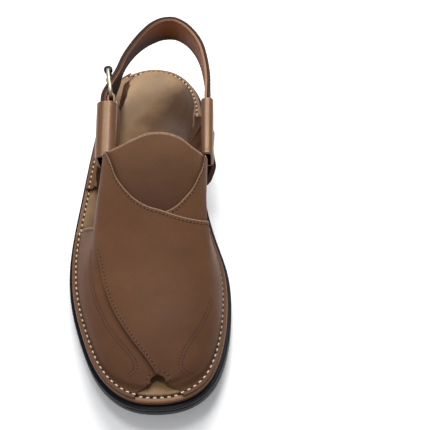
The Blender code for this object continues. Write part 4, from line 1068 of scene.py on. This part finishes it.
def build_buckle():
    front, rear = buckle_bars()
    length = np.linalg.norm(rear - front)
    along = (rear - front) / length
    half = STRAP_NARROW / 2 + WIRE + 0.0012
    bend = 0.0045
    points = []
    for run, rise, start in ((bend, half - bend, 90), (bend, bend - half, 180),
                             (length - bend, bend - half, 270), (length - bend, half - bend, 0)):
        for angle in np.radians(np.linspace(start, start + 90, 14)):
            x, z = run + bend * math.cos(angle), rise + bend * math.sin(angle)
            points.append(front + along * x + UP * z)
    wire = round_profile(WIRE, 16) * (1.0, 1.12)
    sweep("buckle_wire", points, wire, np.cross(along, UP), [BRASS], ("buckle_frame",),
          closed=True, angle=60.0)
    low, high = bend - half, half - WIRE - 0.0002
    rows = [(low, 1.4), (low + 0.0005, 1.9), (high - 0.0040, 1.9), (high - 0.0034, 2.5), (high - 0.0028, 2.8),
            (high - 0.0008, 2.9), (high - 0.0002, 2.7), (high, 2.3)]
    # Painted shade: the black sleeve stands for the brass rear bar in shadow.
    shaded_bar = [rear + UP * z for z, size in rows]
    sweep("shaded_rear_bar", shaded_bar, [round_profile(WIRE * size, 28) for z, size in rows], along, [BLACK],
          angle=50.0)
    reach = np.array([WIRE * 2 + GAP, 0.0, 0.0])
    loop = 2 * WIRE + GAP
    pin = []
    for angle in np.linspace(math.radians(215), math.radians(60), 18):
        turn = np.array([along[0] * math.cos(angle) + along[1] * math.sin(angle),
                         along[1] * math.cos(angle) - along[0] * math.sin(angle), 0.0])
        pin.append(front + turn * loop)
    start, tip = pin[-1], rear + reach + along * 0.0022 + np.array([0.0006, 0.0, 0.0])
    pin += [start * (1 - t) + tip * t for t in np.linspace(0.1, 1.0, 12)]
    sizes = [1.0] * 26 + [0.9, 0.75, 0.45, 0.15]
    sweep("buckle_pin", pin, [round_profile(WIRE * 0.85 * size, 12) for size in sizes], UP, [BRASS],
          ("buckle_prong",), angle=60.0)


def build_tab():
    front = buckle_bars()[0]
    middle = WIRE + GAP + TAB_LEATHER / 2
    mouth, end = (tube_point(LATERAL, run, -tab_across()) for run in (1.0, 0.35))
    path = [end + (mouth - end) * t + np.array([-middle, 0.0, 0.0]) for t in np.linspace(0.0, 0.95, 6)]
    for angle in np.linspace(-math.pi / 2, math.pi / 2, 15):
        path.append(front + np.array([middle * math.sin(angle), -middle * math.cos(angle), 0.0]))
    path += [mouth + (end - mouth) * t + np.array([middle, 0.0, 0.0]) for t in np.linspace(0.05, 1.0, 6)]
    profile = oblong(TAB_LEATHER / 2, TAB_WIDTH / 2, 0.0004, 3)
    return sweep("buckle_strap_tab", path, profile, UP, [STRAP, PALE_EDGE], ("buckle_tab",),
                 [1, 1, 1, 1, 1, 0, 1, 1, 1, 1, 1, 0])


build_buckle()
tab = build_tab()
print("strap faces", len(strap.data.polygons), "tab faces", len(tab.data.polygons))

# %% [markdown]
# ## Thread and pinholes
# Cream stitches run all round the sole. Fine rows follow the V edges of the vamp, and two S-shaped double
# rows of pinholes decorate its sides. Rays put each one on the leather below it.

# %% Surfaces for the thread
# Pitch of each kind of row, and length, radius across and radius upward of one stitch or hole.
SOLE_PITCH, SOLE_STITCH = 0.0043, (0.0024, 0.00066, 0.000594)
FINE_PITCH, FINE_STITCH = 0.0026, (0.0014, 0.00036, 0.00018)
HOLE_PITCH, PINHOLE = 0.0017, (0.00080, 0.00044, 0.000154)
STRAP_PITCH, STRAP_STITCH = 0.0034, (0.0022, 0.00028, 0.000224)
SLANT = 0.16            # how far the sole's stitches lean to the side
HALF_DOUBLE = 0.0011    # from the middle of a double row to each of its rows
COVER_LIMIT = 0.0009    # farther from the leather than this, another panel covers a stitch
RIM_INSET = 0.0024      # from the strap's rim to its stitches


def tree_of(*objects):
    vertices, faces = [], []
    for one in objects:
        base = len(vertices)
        vertices += [one.matrix_world @ v.co for v in one.data.vertices]
        faces += [tuple(base + k for k in p.vertices) for p in one.data.polygons]
    return BVHTree.FromPolygons(vertices, faces)


VAMP = tree_of(over, under, tongue)


def land(tree, points, directions, rise=0.010):
    """Drop points on to a surface, against the given directions. Returns places, normals and what was hit."""
    places, normals, kept = [], [], []
    for i, (point, way) in enumerate(zip(points - CENTRE, directions)):
        hit = tree.ray_cast(Vector(point + way * rise), Vector(-way), rise * 3)
        if hit[0] is not None:
            normal = np.array(hit[1])
            places.append(np.array(hit[0]) + CENTRE)
            normals.append(normal if normal @ way > 0 else -normal)
            kept.append(i)
    return np.array(places), np.array(normals), kept


# %% Sole stitches
COVERED = {LATERAL: [QUARTER_BASE[LATERAL][1::-1], (UNDER_WELT[0][0], UNDER_WELT[-1][0])],
           MEDIAL: [QUARTER_BASE[MEDIAL][1::-1], (OVER_WELT[0][0], OVER_WELT[-1][0])]}


def build_sole_stitches():
    """The thread lies in the channel of whatever is on top there: a wall's flange or the bare runner."""
    shares = stations(220)
    places, ways = [], []
    for side in (LATERAL, MEDIAL):
        line = np.column_stack([on_edge(shares, side, -SEAM_INSET, 0.0), shares])
        for point, way in zip(*spaced(line, SOLE_PITCH)):
            covered = any(start < point[3] < end for start, end in COVERED[side])
            point[2] = midsole_top(point[1]) + (GAP + LEATHER if covered else 0.0) - 0.0004
            places.append(point[:3])
            ways.append(way + np.array([-way[1], way[0], 0.0]) * SLANT * side)
    print("sole stitches", len(places))
    return beads("sole_stitches", places, unit(np.array(ways)), [UP] * len(places), SOLE_STITCH, [THREAD])


build_sole_stitches()

# %% Fine rows on the vamp
def fine_row(name, low, high, depth, level, part):
    """Stitches and holes at a depth from the first row of a grid, left out where another panel covers them.
    level: the row whose thickness gives the way out. part: the columns that are sewn."""
    steps = np.linalg.norm(np.diff(high, axis=0), axis=2)
    run = np.concatenate([np.zeros((1, high.shape[1])), np.cumsum(steps, axis=0)])
    line = np.array([[np.interp(depth, run[:, j], high[:, j, k]) for k in range(3)]
                     for j in range(high.shape[1])])[part]
    points, along = spaced(line, FINE_PITCH)
    which = [int(np.argmin(np.linalg.norm(line - point, axis=1))) for point in points]
    ups = unit((high - low)[level][part])[which]
    places, normals, kept = land(VAMP, points, ups, 0.004)
    near = np.linalg.norm(places - points[kept], axis=1) < COVER_LIMIT
    places, normals, along = places[near], normals[near], along[kept][near]
    # The holes between the stitches are dark beads: painted shade.
    holes = places + along * FINE_PITCH / 2
    mixed = np.vstack([places + normals * 0.00006, holes + normals * 0.00001])
    return beads(name, mixed, np.vstack([along, along]), np.vstack([normals, normals]), FINE_STITCH,
                 [FINE_THREAD, HOLE], [0] * len(places) + [1] * len(holes))


NECK, TOE = slice(3, 66), slice(2, 62)
fine_row("v_stitches_over", OVER_LOW, OVER_HIGH, 0.0023, 3, NECK)
fine_row("v_stitches_under", UNDER_LOW, UNDER_HIGH, 0.0023, 3, NECK)
fine_row("edge_stitches", OVER_LOW.swapaxes(0, 1), OVER_HIGH.swapaxes(0, 1), 0.0022, 2, slice(46, -1))
fine_row("toe_stitches_over", OVER_LOW[::-1], OVER_HIGH[::-1], 0.0027, 3, TOE)
fine_row("toe_stitches_under", UNDER_LOW[::-1], UNDER_HIGH[::-1], 0.0021, 3, TOE)
print("vamp rows done")


# %% Pinholes
def build_pinholes(side):
    rows = through(PINHOLES[side], 200).T
    points, along = spaced(np.hstack([foot(*rows), foot_normal(*rows)]), HOLE_PITCH)
    normals = unit(points[:, 3:])
    across = np.cross(along, normals) * HALF_DOUBLE
    every = np.vstack([points[:, :3] + across, points[:, :3] - across])
    places, found, kept = land(VAMP, every, np.vstack([normals, normals]))
    return beads("pinholes_" + WORDS[side], places, np.vstack([along, along])[kept], found, PINHOLE, [HOLE])


for side in WORDS:
    build_pinholes(side)


# %% Strap stitches
def build_strap_stitches():
    line = STRAP_LINE[:, :3]
    across = unit(np.cross(np.gradient(line, axis=0), STRAP_UP))
    up = unit(STRAP_UP) * (STRAP_TALL / 2 - RIM_INSET)[:, None]
    rows = []
    for face in (1, -1):
        for rim in (1, -1):
            row = line + across * face * STRAP_THICK / 2 + up * rim
            points, along = spaced(np.hstack([row, across * face]), STRAP_PITCH)
            rows.append((points[:, :3], along, points[:, 3:]))
    places, ways, normals = map(np.vstack, zip(*rows))
    return beads("strap_stitches", places, ways, normals, STRAP_STITCH, [FINE_THREAD],
                 segments=6)


build_strap_stitches()

# %% [markdown]
# ## Floor, light and camera
# A white paper floor with a little light of its own, and a pale sky. The key lamp is large and stands high
# behind the heel, so the strap's inner face catches it and the vamp darkens toward the toe; both are also
# painted into the colours, as painted light at the top of the strap's lining and painted shade toward the
# vamp's toe. A smaller lamp above draws the highlights on the tubes, and a weak one fills from the front.
# The camera keeps the photograph's angle.

# %% Floor and light
mesh = bpy.data.meshes.new("floor")
mesh.from_pydata([(-6, -6, 0), (6, -6, 0), (6, 6, 0), (-6, 6, 0)], [], [(0, 1, 2, 3)])
floor = bpy.data.objects.new("floor", mesh)
bpy.context.scene.collection.objects.link(floor)
paper, _, shader = material("paper")
fill(shader, {"Base Color": (0.93, 0.93, 0.94, 1.0), "Roughness": 0.9, "Specular IOR Level": 0.1,
              "Emission Color": (1.0, 1.0, 1.0, 1.0), "Emission Strength": 0.14})
mesh.materials.append(paper)

world = bpy.context.scene.world or bpy.data.worlds.new("sky")
bpy.context.scene.world = world
world.use_nodes = True
fill(world.node_tree.nodes["Background"], {"Color": (0.97, 0.985, 1.0, 1.0), "Strength": 0.36})


def lamp(name, place, aim, size, power):
    data = bpy.data.lights.new(name, "AREA")
    data.shape, data.size, data.energy = "DISK", size, power
    made = bpy.data.objects.new(name, data)
    made.location = place
    made.rotation_euler = (Vector(aim) - Vector(place)).to_track_quat("-Z", "Y").to_euler()
    bpy.context.scene.collection.objects.link(made)


lamp("key", (-0.12, -0.85, 1.10), (0.0, 0.0, 0.03), 0.80, 19.0)
lamp("top", (0.02, -0.10, 1.30), (0.0, 0.0, 0.03), 0.30, 5.0)
lamp("fill", (0.9, 0.5, 1.1), (0.0, 0.02, 0.03), 0.9, 1.2)
bpy.context.scene.view_settings.view_transform = "Standard"

# %% Camera
azimuth, elevation, roll = 0.0203943, 0.9623815, -0.0163965
place = np.array([-0.03975, 0.44335, 0.45320]) - CENTRE
back = np.array([math.sin(azimuth) * math.cos(elevation), math.cos(azimuth) * math.cos(elevation),
                 math.sin(elevation)])
right = unit(np.cross(-back, UP))
up = np.cross(right, -back)
right, up = math.cos(roll) * right + math.sin(roll) * up, -math.sin(roll) * right + math.cos(roll) * up
data = bpy.data.cameras.new("camera")
data.lens, data.sensor_width, data.sensor_fit = 60.6, 36.0, "HORIZONTAL"
data.clip_start, data.clip_end = 0.01, 20.0
camera = bpy.data.objects.new("camera", data)
camera.matrix_world = Matrix([*np.column_stack([right, up, back, place]).tolist(), (0.0, 0.0, 0.0, 1.0)])
bpy.context.scene.collection.objects.link(camera)
bpy.context.scene.camera = camera
print("camera at", place.round(3))
